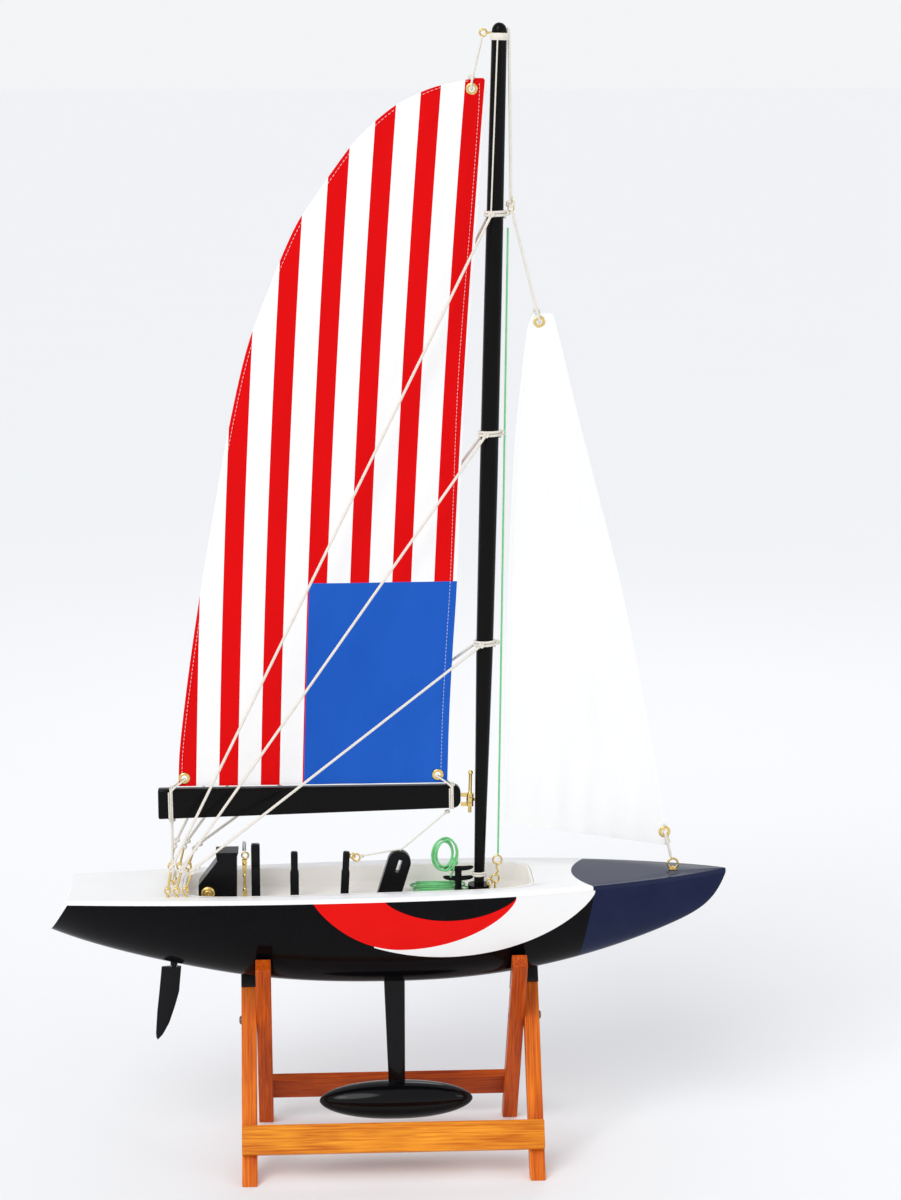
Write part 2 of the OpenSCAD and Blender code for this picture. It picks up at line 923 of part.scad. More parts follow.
module horn_cleat() {
    post_x = 47;
    bar_z = 203;
    color("black") {
        translate([post_x, 0, floor_z]) {
            cylinder(h = 3, d = 9);
            cylinder(h = bar_z - floor_z, d = 5);
        }
        for (z = [bar_z - 7, bar_z]) {
            translate([post_x - 9, 0, z])
                rotate([0, 90, 0])
                    cylinder(h = 18, d = 3.6);
            for (x = [post_x - 9, post_x + 9])
                translate([x, 0, z])
                    sphere(d = 3.6);
        }
    }
}

// Turns of spare cord that hang upright on the cleat
module green_coil() {
    color("mediumseagreen")
        translate([37.5, -5.6, floor_z + 32])
            rotate([90, 0, 20])
                rotate_extrude()
                    translate([8.4, 0])
                        circle(d = 4.6);
}

// The folded end of the green cord, lying on the sunken deck
module green_hank() {
    width = 10;
    length = 30;
    color("mediumseagreen")
        translate([20, 12, floor_z + 0.1]) {
            linear_extrude(5)
                union() {
                    translate([0, -width / 2])
                        square([length, width]);
                    for (x = [0, length])
                        translate([x, 0])
                            circle(d = width);
                }
        }
}

// From the fore end of the boom to the fairlead
module kicker_cord() {
    color("ivory")
        bar([lashing_fore_x - 3, 0, boom_low_z(lashing_fore_x) - 3.2], [9.5, 0, floor_z + 39.2], 1.2);
}

module mainsheet() {
    low = sheer(lashing_aft_x) + deck_t + camber + 8.2;
    color("ivory")
        bar([lashing_aft_x, 0, low], [lashing_aft_x, 0, boom_low_z(lashing_aft_x) - lashing_t - 0.5], cord_d);
}

// ---- Fittings on the sunken deck ----

console_foot = [-131, -105];
console_top = [-118, -104.5];
console_half = 8;
console_top_z = 219;
disc_x = -124.5;
disc_z = 191;

module console() {
    color("black")
        difference() {
            upright_plate([
                [console_foot[0], floor_z], [console_foot[1], floor_z], [console_top[1], console_top_z - 3],
                [console_top[1] + 1, console_top_z], [console_top[0] - 1, console_top_z],
                [console_top[0], console_top_z - 6], [console_foot[0] + 1, 197.5], [console_foot[0], 196]
            ], 2 * console_half);
            translate([disc_x, -console_half - 1, disc_z])
                rotate([-90, 0, 0])
                    cylinder(h = 5, d = 2);
        }
}

// A turned brass wheel on the near face of the console
module console_disc() {
    color("gold")
        translate([disc_x, -console_half, disc_z])
            rotate([90, 0, 0]) {
                cylinder(h = 2.2, d = 9.6);
                translate([0, 0, 2.2])
                    cylinder(h = 1, d = 5);
                translate([0, 0, -3])
                    cylinder(h = 3.1, d = 1.9);
            }
}

// A square post with a narrower upper part
module post(x, w, upper_w, top_z, tilt) {
    step_z = (top_z - floor_z) * 0.62;
    color("black")
        translate([x, 0, floor_z])
            rotate([0, tilt, 0]) {
                translate([-w / 2, -w / 2, tilt > 0 ? 0.5 : 0])
                    cube([w, w, step_z]);
                translate([-upper_w / 2 + 0.6, -upper_w / 2, step_z])
                    cube([upper_w, upper_w, top_z - floor_z - step_z]);
            }
}

module cockpit_post_aft() {
    post(-92, 6, 6, 223, 0);
}

module cockpit_post_middle() {
    post(-65.5, 6, 4.8, 217, 0);
}

module cockpit_post_fore() {
    post(-31.5, 5.6, 4.6, 216.5, 3);
    color("gold")
        translate([-23, 0, 212])
            rotate([90, 0, 0])
                wire_ring(5, wire_d);
    color("gold")
        bar([-28.6, 0, 212], [-25.6, 0, 212], wire_d);
}

// Brass strips and a grey pin between the console and the aft post
module brass_tangs() {
    x = -99.6;
    color("gold") {
        translate([x - 1.6, -1.5, floor_z])
            cube([3.2, 3, 30]);
        translate([x, 0, floor_z + 32])
            rotate([90, 0, 0])
                wire_ring(5, wire_d);
    }
    color("gray")
        translate([x, 0, floor_z + 35.4])
            cylinder(h = 7, d = 2.6);
}

// A leaning round-headed block with a slot through it
module slotted_fairlead() {
    tilt = 17;
    width = 16;
    height = 35;
    head_r = width / 2;
    depth = 8;
    color("black")
        translate([-1.6, 0, floor_z])
            difference() {
                rotate([0, tilt, 0])
                    rotate([90, 0, 0])
                        translate([0, 0, -depth / 2])
                            difference() {
                                union() {
                                    translate([-width / 2, -4])
                                        linear_extrude(depth)
                                            square([width, height - head_r + 4]);
                                    translate([0, height - head_r, 0])
                                        cylinder(h = depth, r = head_r);
                                }
                                translate([-0.8, height - head_r - 7, -1])
                                    linear_extrude(depth + 2)
                                        square([2.4, 9]);
                            }
                translate([-30, -20, -20])
                    cube([60, 40, 20]);
            }
}

stand_leg_aft_outer();
stand_leg_aft_inner();
stand_leg_fore_inner();
stand_leg_fore_outer();
stand_rail_front();
stand_rail_rear();
stand_cross_screws();
stand_pads();
hull_shell();
deck();
sunken_deck();
keel_fin();
keel_bulb();
rudder_tube();
mast();
mast_step();
mast_loops();
masthead_eye();
gooseneck_mast_eye();
starboard_stays();
port_stays();
stay_hooks();
deck_eyes();
bow_eye();
mast_foot_eye();
horn_cleat();
green_line();
green_coil();
green_hank();
jib_halyard();
kicker_cord();
mainsheet();
console();
console_disc();
cockpit_post_aft();
cockpit_post_middle();
cockpit_post_fore();
brass_tangs();
slotted_fairlead();
servo_tray();
rudder_servo();
sail_servo();
receiver();
battery_pack();
rudder_blade();
rudder_stock();
tiller_arm();
rudder_servo_arm();
pushrod();
sail_servo_arm();
boom();
gooseneck_boom_eye();
boom_lashings();
mainsail();
mainsail_grommets();
mainsail_head_cord();
jib();
jib_grommets();
jib_cords();
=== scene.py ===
import math

import bmesh
import bpy
from mathutils import Matrix, Vector


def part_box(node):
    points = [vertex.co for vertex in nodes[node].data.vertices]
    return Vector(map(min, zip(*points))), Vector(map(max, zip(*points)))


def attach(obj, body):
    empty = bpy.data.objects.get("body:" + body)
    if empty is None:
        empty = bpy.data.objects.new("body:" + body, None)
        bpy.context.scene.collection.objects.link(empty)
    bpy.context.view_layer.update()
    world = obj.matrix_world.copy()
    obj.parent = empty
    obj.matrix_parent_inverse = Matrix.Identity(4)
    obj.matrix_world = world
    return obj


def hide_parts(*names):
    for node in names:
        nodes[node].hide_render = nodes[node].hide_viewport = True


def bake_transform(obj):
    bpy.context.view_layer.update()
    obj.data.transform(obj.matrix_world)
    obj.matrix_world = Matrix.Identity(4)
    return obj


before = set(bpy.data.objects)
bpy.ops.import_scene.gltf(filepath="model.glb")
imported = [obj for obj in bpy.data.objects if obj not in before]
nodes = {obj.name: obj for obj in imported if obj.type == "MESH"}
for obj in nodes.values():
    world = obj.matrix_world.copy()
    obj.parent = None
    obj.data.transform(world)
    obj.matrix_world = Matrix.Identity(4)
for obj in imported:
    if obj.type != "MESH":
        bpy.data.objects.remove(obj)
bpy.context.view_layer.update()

TURN = 2 * math.pi


def mm(*values):
    """A point, given in millimetres."""
    return Vector(values) * 0.001


# ---- Camera, light and floor ----

CAMERA_AT = Vector((-0.0651, -1.8892, 0.7773))
CAMERA_LOOK = Vector((0.0553, 0.9783, -0.1998))
LENS = 85.875


def make_camera():
    data = bpy.data.cameras.new("camera")
    data.lens = LENS
    data.sensor_width = 36
    data.clip_end = 60
    camera = bpy.data.objects.new("camera", data)
    camera.location = CAMERA_AT
    camera.rotation_euler = CAMERA_LOOK.to_track_quat("-Z", "Y").to_euler()
    bpy.context.scene.collection.objects.link(camera)
    bpy.context.scene.camera = camera


def area_light(name, at, target, size, energy):
    data = bpy.data.lights.new(name, "AREA")
    data.shape = "DISK"
    data.size = size
    data.energy = energy
    light = bpy.data.objects.new(name, data)
    light.location = at
    light.rotation_euler = (Vector(target) - Vector(at)).to_track_quat("-Z", "Y").to_euler()
    bpy.context.scene.collection.objects.link(light)


def sun_light(name, towards, strength, softness):
    data = bpy.data.lights.new(name, "SUN")
    data.energy = strength
    data.angle = math.radians(softness)
    light = bpy.data.objects.new(name, data)
    light.rotation_euler = Vector(towards).to_track_quat("-Z", "Y").to_euler()
    bpy.context.scene.collection.objects.link(light)


def make_world():
    world = bpy.data.worlds.new("studio")
    world.use_nodes = True
    tree = world.node_tree
    direction = tree.nodes.new("ShaderNodeTexCoord").outputs["Generated"]
    axes = tree.nodes.new("ShaderNodeSeparateXYZ")
    tree.links.new(direction, axes.inputs[0])
    height = tree.nodes.new("ShaderNodeMapRange")
    height.inputs["From Min"].default_value = 0.05
    height.inputs["From Max"].default_value = 0.6
    tree.links.new(axes.outputs[2], height.inputs["Value"])
    sky = tree.nodes.new("ShaderNodeMix")
    sky.data_type = "RGBA"
    sky.inputs[6].default_value = (0.900, 0.912, 0.930, 1)
    sky.inputs[7].default_value = (0.68, 0.69, 0.71, 1)
    tree.links.new(height.outputs["Result"], sky.inputs[0])
    tree.links.new(sky.outputs[2], tree.nodes["Background"].inputs["Color"])
    bpy.context.scene.world = world
    bpy.context.scene.view_settings.view_transform = "Standard"


# ---- Shader graphs ----

class Wire:
    """A value that flows between shader nodes, with plain arithmetic."""

    def __init__(self, graph, socket):
        self.graph = graph
        self.socket = socket

    def __rsub__(self, other):
        return self.graph.maths("SUBTRACT", other, self)

    def sine(self):
        return self.graph.maths("SINE", self, 0)


def operator(kind):
    return lambda wire, other: wire.graph.maths(kind, wire, other)


for method, kind in (("__add__", "ADD"), ("__sub__", "SUBTRACT"), ("__mul__", "MULTIPLY"),
                     ("__truediv__", "DIVIDE"), ("__pow__", "POWER"), ("__gt__", "GREATER_THAN"),
                     ("__lt__", "LESS_THAN"), ("modulo", "FLOORED_MODULO"), ("least", "MAXIMUM")):
    setattr(Wire, method, operator(kind))


class Graph:
    """A Principled material and the nodes that feed it."""

    def __init__(self, name, roughness=0.5, metallic=0.0, coat=0.0, coat_roughness=0.03, sheen=0.0,
                 specular=0.5):
        self.material = bpy.data.materials.new(name)
        self.material.use_nodes = True
        self.tree = self.material.node_tree
        self.shader = self.tree.nodes["Principled BSDF"]
        self.shader.inputs["Roughness"].default_value = roughness
        self.shader.inputs["Metallic"].default_value = metallic
        self.shader.inputs["Coat Weight"].default_value = coat
        self.shader.inputs["Coat Roughness"].default_value = coat_roughness
        self.shader.inputs["Sheen Weight"].default_value = sheen
        self.shader.inputs["Specular IOR Level"].default_value = specular
        self.shader.inputs["Sheen Roughness"].default_value = 0.4
        self.coordinates = self.tree.nodes.new("ShaderNodeTexCoord").outputs["Object"]

    def put(self, value, socket):
        if isinstance(value, Wire):
            self.tree.links.new(value.socket, socket)
        else:
            socket.default_value = value

    def maths(self, kind, a, b):
        node = self.tree.nodes.new("ShaderNodeMath")
        node.operation = kind
        self.put(a, node.inputs[0])
        self.put(b, node.inputs[1])
        return Wire(self, node.outputs[0])

    def axes(self):
        node = self.tree.nodes.new("ShaderNodeSeparateXYZ")
        self.tree.links.new(self.coordinates, node.inputs[0])
        return [Wire(self, output) for output in node.outputs]

    def mix(self, share, a, b):
        node = self.tree.nodes.new("ShaderNodeMix")
        node.data_type = "RGBA"
        self.put(share, node.inputs[0])
        self.put(a, node.inputs[6])
        self.put(b, node.inputs[7])
        return Wire(self, node.outputs[2])

    def noise(self, scale, detail=3.0, stretch=(1, 1, 1), turn=(0, 0, 0), distortion=0.0):
        mapping = self.tree.nodes.new("ShaderNodeMapping")
        mapping.vector_type = "TEXTURE"
        mapping.inputs["Scale"].default_value = tuple(1 / s for s in stretch)
        mapping.inputs["Rotation"].default_value = turn
        self.tree.links.new(self.coordinates, mapping.inputs["Vector"])
        node = self.tree.nodes.new("ShaderNodeTexNoise")
        node.inputs["Scale"].default_value = scale
        node.inputs["Detail"].default_value = detail
        node.inputs["Distortion"].default_value = distortion
        self.tree.links.new(mapping.outputs[0], node.inputs["Vector"])
        return Wire(self, node.outputs["Fac"])

    def color(self, value):
        self.put(value, self.shader.inputs["Base Color"])

    def roughness(self, value):
        self.put(value, self.shader.inputs["Roughness"])

    def bump(self, height, distance, strength=1.0):
        node = self.tree.nodes.new("ShaderNodeBump")
        node.inputs["Strength"].default_value = strength
        node.inputs["Distance"].default_value = distance
        self.put(height, node.inputs["Height"])
        self.tree.links.new(node.outputs[0], self.shader.inputs["Normal"])


def rgb(r, g, b):
    return (r, g, b, 1)


def speckled(name, dark, light, scale, depth, rough=(0.2, 0.3), stretch=(1, 1, 1), **settings):
    """A material whose colour, roughness and relief vary softly."""
    g = Graph(name, **settings)
    wide = g.noise(scale * 0.12, 2)
    fine = g.noise(scale, 4, stretch)
    g.color(g.mix(wide * 0.5 + fine * 0.5, dark, light))
    g.roughness(wide * (rough[1] - rough[0]) + rough[0])
    g.bump(fine, depth)
    return g.material


# ---- Paints and cloths ----

BLACK = rgb(0.0015, 0.0015, 0.002)
WHITE = rgb(0.93, 0.93, 0.92)
RED = rgb(0.86, 0.006, 0.004)
NAVY = rgb(0.008, 0.013, 0.045)


def arc_above(x, z, top, depth, centre, half, power):
    """1 where a point lies above an arc that hangs from a level line, and 0 elsewhere."""
    u = (x - centre) / half
    room = 1.0 - u * u
    edge = top - room.least(0.0) ** power * depth
    return (z > edge) * (room > 0.0)


def hull_paint():
    """Black, with a white crescent, a red bow wave, a black lens and a navy forefoot."""
    g = Graph("hull_paint", coat=0.02, coat_roughness=0.04, specular=0.06)
    x, _, z = g.axes()
    white = arc_above(x, z, 0.197, 0.0496, 0.039, 0.1004, 0.7) * (x > -0.012)
    red_half = (x > 0.007) * 0.017 + 0.060
    red_power = (x > 0.007) * -0.15 + 0.85
    red = arc_above(x, z, 0.193, 0.0385, 0.007, red_half, red_power)
    lens = arc_above(x, z, 0.1931, 0.0156, 0.0397, 0.044, 0.8)
    navy = (x - z * 0.1435) > 0.1103
    wear = g.noise(60, 3)
    black = g.mix(wear, BLACK, rgb(0.003, 0.003, 0.004))
    color = g.mix(white, black, WHITE)
    color = g.mix(red, color, g.mix(wear, RED, rgb(0.78, 0.004, 0.003)))
    color = g.mix(lens, color, black)
    color = g.mix(navy, color, g.mix(wear, NAVY, rgb(0.014, 0.02, 0.06)))
    g.color(color)
    g.roughness(wear * 0.06 + 0.1)
    g.bump(g.noise(450, 2), 0.00002)
    return g.material


def deck_paint():
    """Gloss white, with a navy foredeck whose edge is an arc."""
    g = Graph("deck_paint", coat=0.06, coat_roughness=0.05, specular=0.14)
    x, y, _ = g.axes()
    wear = g.noise(45, 3)
    white = g.mix(wear, WHITE, rgb(0.89, 0.89, 0.885))
    navy = (x - y * y * 10.5) > 0.1252
    g.color(g.mix(navy, white, g.mix(wear, NAVY, rgb(0.014, 0.02, 0.06))))
    g.roughness(wear * 0.08 + 0.16)
    g.bump(g.noise(350, 2), 0.00003)
    return g.material


STRIPE_PITCH = 0.0283
STRIPE_WIDTH = 0.0128
STRIPE_START = 0.0012
FOOT_Z = 0.2644
LUFF_FOOT_X = 0.0395
LUFF_RISE = 0.4686
LUFF_REACH = 0.0255
LUFF_SAG = 0.012


def cloth_finish(g, color):
    """A close satin weave over soft creases."""
    x, _, z = g.axes()
    thread = 2600.0
    weave = (x * TURN * thread / 2).sine() * (z * TURN * thread / 2).sine()
    crease = g.noise(22, 3, (1.6, 1, 0.45))
    g.color(color)
    g.roughness(crease * 0.16 + 0.36)
    g.bump(weave * 0.04 + crease * 4.0, 0.0003)


def main_cloth():
    """Red and white stripes that follow the luff, and a blue panel at the foot."""
    g = Graph("main_cloth", specular=0.05)
    x, _, z = g.axes()
    u = (z - FOOT_Z) / LUFF_RISE
    luff = u * LUFF_REACH + LUFF_FOOT_X - u * (1.0 - u) * LUFF_SAG
    aft = luff - x
    red = (aft - STRIPE_START).modulo(STRIPE_PITCH) < STRIPE_WIDTH
    blue = (aft < 0.098) * (z < 0.4045)
    tone = g.noise(16, 3, (1.5, 1, 0.5))
    stripes = g.mix(red, rgb(0.9, 0.895, 0.89), g.mix(tone, rgb(0.80, 0.003, 0.004), rgb(0.60, 0.002, 0.003)))
    panel = g.mix(tone, rgb(0.008, 0.075, 0.42), rgb(0.02, 0.125, 0.56))
    cloth_finish(g, g.mix(blue, stripes, panel))
    return g.material


def jib_cloth():
    g = Graph("jib_cloth", specular=0.1)
    tone = g.noise(14, 3, (1.5, 1, 0.5))
    cloth_finish(g, g.mix(tone, rgb(0.86, 0.855, 0.845), rgb(0.92, 0.918, 0.912)))
    return g.material


def cord_fibre(name, dark, light):
    """Twisted fibres, with hairs finer than the strands."""
    g = Graph(name, roughness=0.8, sheen=0.35)
    hair = g.noise(5200, 2)
    tone = g.noise(300, 2)
    g.color(g.mix(hair * 0.6 + tone * 0.4, dark, light))
    g.roughness(hair * 0.2 + 0.65)
    g.bump(hair, 0.0001)
    return g.material


def wood(name, turn, dark, light):
    """Varnished wood. turn lays the grain along the stick."""
    g = Graph(name, coat=0.05, coat_roughness=0.14, specular=0.14)
    grain = g.noise(900, 4, (0.035, 1, 1), turn, 0.4)
    cloud = g.noise(60, 3, (0.25, 1, 1), turn)
    pores = g.noise(3200, 2, (0.03, 1, 1), turn)
    streak = ((grain * 0.6 + cloud * 0.4 - 0.36) * 3.2).least(0.0)
    g.color(g.mix(streak, dark, light))
    g.roughness(grain * 0.2 + 0.28)
    g.bump(grain * 0.6 + pores * 0.4, 0.00012)
    return g.material


FOOT_HALF = 0.058
TOP_HALF = 0.030
LEG_TOP_Z = 0.146
LEG_TILT = math.atan((FOOT_HALF + TOP_HALF) / LEG_TOP_Z)
UPRIGHT = math.pi / 2
# The stand's wood comes in lit and shaded copies of one varnish. The outer legs and the front rail are
# painted light in a brighter orange. The inner legs and the rear rail are painted shade in a darker
# red-brown.
LIT_OUTER_LEG = (rgb(0.46, 0.062, 0.003), rgb(0.90, 0.235, 0.012))
SHADED_INNER_LEG = (rgb(0.32, 0.034, 0.002), rgb(0.72, 0.125, 0.007))
LIT_FRONT_RAIL = (rgb(0.52, 0.115, 0.004), rgb(0.95, 0.36, 0.022))
SHADED_REAR_RAIL = (rgb(0.28, 0.030, 0.002), rgb(0.66, 0.110, 0.006))

HULL = hull_paint()
DECK = deck_paint()
# The sunken deck's warm beige is painted shade. The well's white is painted darker and warmer than the deck's
# to stand in for the shade inside the well.
WELL = speckled("well_paint", rgb(0.90, 0.86, 0.80), rgb(0.95, 0.92, 0.87), 220, 0.00004, (0.3, 0.45),
                coat=0.2)
KEEL = speckled("keel_paint", BLACK, rgb(0.004, 0.004, 0.005), 400, 0.00003, (0.08, 0.16),
                coat=0.1, specular=0.12)
LACQUER = (rgb(0.0015, 0.0015, 0.0015), rgb(0.005, 0.004, 0.004), 700, 0.00006, (0.12, 0.24))
SPAR = speckled("spar_lacquer", *LACQUER, (1, 1, 0.05), coat=0.04, specular=0.08)
BOOM = speckled("boom_lacquer", *LACQUER, (0.05, 1, 1), coat=0.04, specular=0.08)
BRASS = speckled("brass", rgb(0.66, 0.44, 0.12), rgb(0.92, 0.72, 0.30), 900, 0.00003, (0.16, 0.34),
                 metallic=1.0)
STEEL = speckled("steel", rgb(0.42, 0.42, 0.43), rgb(0.68, 0.68, 0.70), 900, 0.00003, (0.25, 0.4),
                 metallic=1.0)
SCREW = speckled("stand_screw", rgb(0.10, 0.07, 0.05), rgb(0.24, 0.19, 0.15), 900, 0.00004, (0.3, 0.5),
                 metallic=1.0)
FITTING = speckled("black_fitting", rgb(0.002, 0.002, 0.0025), rgb(0.007, 0.007, 0.008), 600, 0.00006,
                   (0.16, 0.3), specular=0.12)
PAD = speckled("stand_pad", rgb(0.008, 0.008, 0.008), rgb(0.03, 0.03, 0.03), 1500, 0.00025, (0.75, 0.95),
               specular=0.1)
MAIN = main_cloth()
JIB = jib_cloth()
THREAD = speckled("stitching", rgb(0.80, 0.80, 0.80), rgb(0.95, 0.95, 0.95), 3000, 0.00003, (0.5, 0.7))
WHITE_CORD = cord_fibre("white_cord", rgb(0.62, 0.56, 0.46), rgb(0.96, 0.93, 0.86))
GREEN_CORD = cord_fibre("green_cord", rgb(0.05, 0.36, 0.10), rgb(0.32, 0.86, 0.38))
LIT_OUTER_WOOD = wood("outer_leg_wood_painted_light", (0, LEG_TILT - UPRIGHT, UPRIGHT), *LIT_OUTER_LEG)
SHADED_INNER_WOOD = wood("inner_leg_wood_painted_shade", (0, -LEG_TILT - UPRIGHT, UPRIGHT), *SHADED_INNER_LEG)
LIT_FRONT_WOOD = wood("front_rail_wood_painted_light", (0, 0, 0), *LIT_FRONT_RAIL)
SHADED_REAR_WOOD = wood("rear_rail_wood_painted_shade", (0, 0, 0), *SHADED_REAR_RAIL)
TRAY = wood("tray_wood", (0, 0, 0), rgb(0.44, 0.27, 0.13), rgb(0.75, 0.56, 0.34))
CASE = speckled("servo_case", rgb(0.012, 0.012, 0.014), rgb(0.03, 0.03, 0.034), 1200, 0.0001, (0.4, 0.55))
WRAP = speckled("battery_wrap", rgb(0.02, 0.09, 0.42), rgb(0.03, 0.14, 0.55), 200, 0.0001, (0.15, 0.3),
                coat=0.4)
NYLON = speckled("nylon", rgb(0.78, 0.78, 0.76), rgb(0.9, 0.9, 0.88), 900, 0.00005, (0.35, 0.5))


# ---- Mesh building ----

class Shape:
    """Points and faces, gathered from loops of points that are joined one to the next."""

    def __init__(self):
        self.points = []
        self.faces = []
        self.marks = []

    def skin(self, loops, around=True, ends=(True, True), closed=False, mark=0):
        """Joins loops of equal length with quads. ends says which end loops are filled."""
        base = len(self.points)
        n = len(loops[0])
        rows = len(loops)
        for loop in loops:
            self.points.extend(loop)
        for i in range(rows if closed else rows - 1):
            a = base + i * n
            b = base + (i + 1) % rows * n
            for k in range(n if around else n - 1):
                j = (k + 1) % n
                self.add((a + k, a + j, b + j, b + k), mark)
        if not closed and ends[0]:
            self.add(tuple(base + k for k in reversed(range(n))), mark)
        if not closed and ends[1]:
            self.add(tuple(base + (rows - 1) * n + k for k in range(n)), mark)
        return base

    def add(self, face, mark=0):
        self.faces.append(face)
        self.marks.append(mark)


def make_object(shape, name, materials, sharp=35):
    mesh = bpy.data.meshes.new(name)
    mesh.from_pydata([tuple(p) for p in shape.points], [], shape.faces)
    for material in materials:
        mesh.materials.append(material)
    mesh.polygons.foreach_set("material_index", shape.marks)
    work = bmesh.new()
    work.from_mesh(mesh)
    bmesh.ops.remove_doubles(work, verts=work.verts, dist=0.000001)
    bmesh.ops.recalc_face_normals(work, faces=work.faces)
    work.to_mesh(mesh)
    work.free()
    mesh.polygons.foreach_set("use_smooth", [True] * len(mesh.polygons))
    mesh.set_sharp_from_angle(angle=math.radians(sharp))
    obj = bpy.data.objects.new(name, mesh)
    bpy.context.scene.collection.objects.link(obj)
    return obj


def piece(shape, name, materials, replaced=(), body="boat", sharp=35):
    """A finished mesh piece that rides on a body."""
    obj = make_object(shape, name, materials, sharp)
    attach(obj, body)
    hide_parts(*replaced)
    return obj


def curve_points(knots, step, closed=False):
    """A Catmull-Rom curve through the knots, with a point about every step."""
    knots = [Vector(k) for k in knots]
    n = len(knots)
    out = []
    for i in range(n if closed else n - 1):
        p1 = knots[i]
        p2 = knots[(i + 1) % n]
        p0 = knots[i - 1] if closed or i > 0 else p1 * 2 - p2
        p3 = knots[(i + 2) % n] if closed or i + 2 < n else p2 * 2 - p1
        parts = max(1, round((p2 - p1).length / step))
        for k in range(parts):
            t = k / parts
            a = p1 * 2
            b = (p2 - p0) * t
            c = (p0 * 2 - p1 * 5 + p2 * 4 - p3) * t * t
            d = (p1 * 3 - p0 - p2 * 3 + p3) * t ** 3
            out.append((a + b + c + d) / 2)
    if not closed:
        out.append(knots[-1])
    return out


def frames_along(path, closed=False):
    """A side and an up direction at each point, turning as little as they can."""
    n = len(path)
    tangents = []
    for i in range(n):
        after = path[(i + 1) % n] if closed or i + 1 < n else path[i]
        before = path[i - 1] if closed or i > 0 else path[i]
        tangents.append((after - before).normalized())
    side = tangents[0].orthogonal().normalized()
    out = []
    for tangent in tangents:
        side = (side - tangent * side.dot(tangent)).normalized()
        out.append((side, tangent.cross(side)))
    return out


def tube(shape, path, radius, sides=10, closed=False, lobes=0, twist=0.0, groove=0.0, mark=0):
    """Sweeps a round or a lobed section along a path. radius may be a function of the share travelled."""
    loops = []
    travelled = 0.0
    frames = frames_along(path, closed)
    for i, point in enumerate(path):
        if i:
            travelled += (point - path[i - 1]).length
        r = radius(i / (len(path) - 1)) if callable(radius) else radius
        turn = TURN * travelled * twist
        side, up = frames[i]
        loop = []
        for k in range(sides):
            angle = TURN * k / sides
            out = r
            if lobes:
                out = r * (1 - groove + groove * abs(math.cos(lobes * (angle - turn) / 2)))
            loop.append(point + side * out * math.cos(angle) + up * out * math.sin(angle))
        loops.append(loop)
    shape.skin(loops, closed=closed, mark=mark)


ROPE_TWIST = 0.3
ROPE_GROOVE = 0.22
ROPE_STEP = 0.0007


def rope(shape, knots, diameter):
    """A three-strand cord through the knots."""
    path = curve_points(knots, ROPE_STEP)
    tube(shape, path, diameter / 2, 12, False, 3, ROPE_TWIST / diameter, ROPE_GROOVE)


def wire(shape, knots, diameter, step=0.0005):
    tube(shape, curve_points(knots, step), diameter / 2)


def circle_points(centre, radius, u, v, n=24, start=0.0, end=1.0):
    """Points on a circle in the plane of u and v."""
    full = end - start >= 1
    out = []
    for k in range(n if full else n + 1):
        angle = TURN * (start + (end - start) * k / n)
        out.append(centre + u * radius * math.cos(angle) + v * radius * math.sin(angle))
    return out


def ring(shape, centre, radius, diameter, u=Vector((1, 0, 0)), v=Vector((0, 0, 1)), sides=12, n=32, mark=0):
    tube(shape, circle_points(centre, radius, u, v, n), diameter / 2, sides, True, mark=mark)


def lathe(shape, profile, at, axis=Vector((0, 0, 1)), sides=40, mark=0):
    """Turns a profile of (radius, height) about an axis that starts at a point."""
    axis = axis.normalized()
    side = axis.orthogonal().normalized()
    up = axis.cross(side)
    loops = []
    for r, h in profile:
        middle = at + axis * h
        r = max(r, 0.00001)
        loops.append([
            middle + side * r * math.cos(TURN * k / sides) + up * r * math.sin(TURN * k / sides)
            for k in range(sides)
        ])
    shape.skin(loops, mark=mark)


def knot(shape, centre, size, diameter, turn=0.0):
    """A small pulled-tight knot: a trefoil of cord."""
    spin = Matrix.Rotation(turn, 3, "Z")
    points = []
    for k in range(48):
        t = TURN * k / 48
        x = math.sin(t) + 2 * math.sin(2 * t)
        y = math.cos(t) - 2 * math.cos(2 * t)
        z = -1.6 * math.sin(3 * t)
        points.append(centre + spin @ (Vector((x, y, z)) * size / 6))
    tube(shape, points, diameter / 2, 8, True, 0)


def screw_eye(shape, foot, stem, ring_d, wire_d):
    """A flange, a stem and an upright ring of brass wire."""
    r = wire_d / 2
    flange = [(0, 0), (r * 2.2, 0), (r * 2.3, r * 0.5), (r * 1.9, r), (r, r * 1.3)]
    lathe(shape, flange + [(r, stem + r)], foot, sides=20)
    ring(shape, foot + Vector((0, 0, stem + ring_d / 2)), ring_d / 2, wire_d)


# ---- Hull form, as in the CAD ----

END = 0.2325
HALF_BEAM = 0.0445
TRANSOM_X = -0.2185


def half_beam(x):
    if x < 0:
        return HALF_BEAM * (1 - 0.34 * (x / END) ** 2)
    return HALF_BEAM * max(0.0, 1 - (x / END) ** 2.4) ** 0.9


def sheer(x):
    return 0.191 + 0.0065 * max(0.0, (x + END) / (2 * END)) ** 1.3


def keel_line(x):
    if x < 0:
        return 0.123 + 0.0495 * (-x / END) ** 2.4
    return 0.123 + 0.056 * (x / END) ** 2.2 + 0.0185 * (x / END) ** 30


def lean_at(x):
    return 0.55 * max(0.0, (-0.12 - x) / (-0.12 - TRANSOM_X)) ** 2


SIDE_POINTS = 22
STATIONS = [TRANSOM_X * (1 - i / 34) for i in range(34)]
STATIONS += [END * math.sin(math.radians(87.5) * i / 52) for i in range(53)]
WALL = 0.003


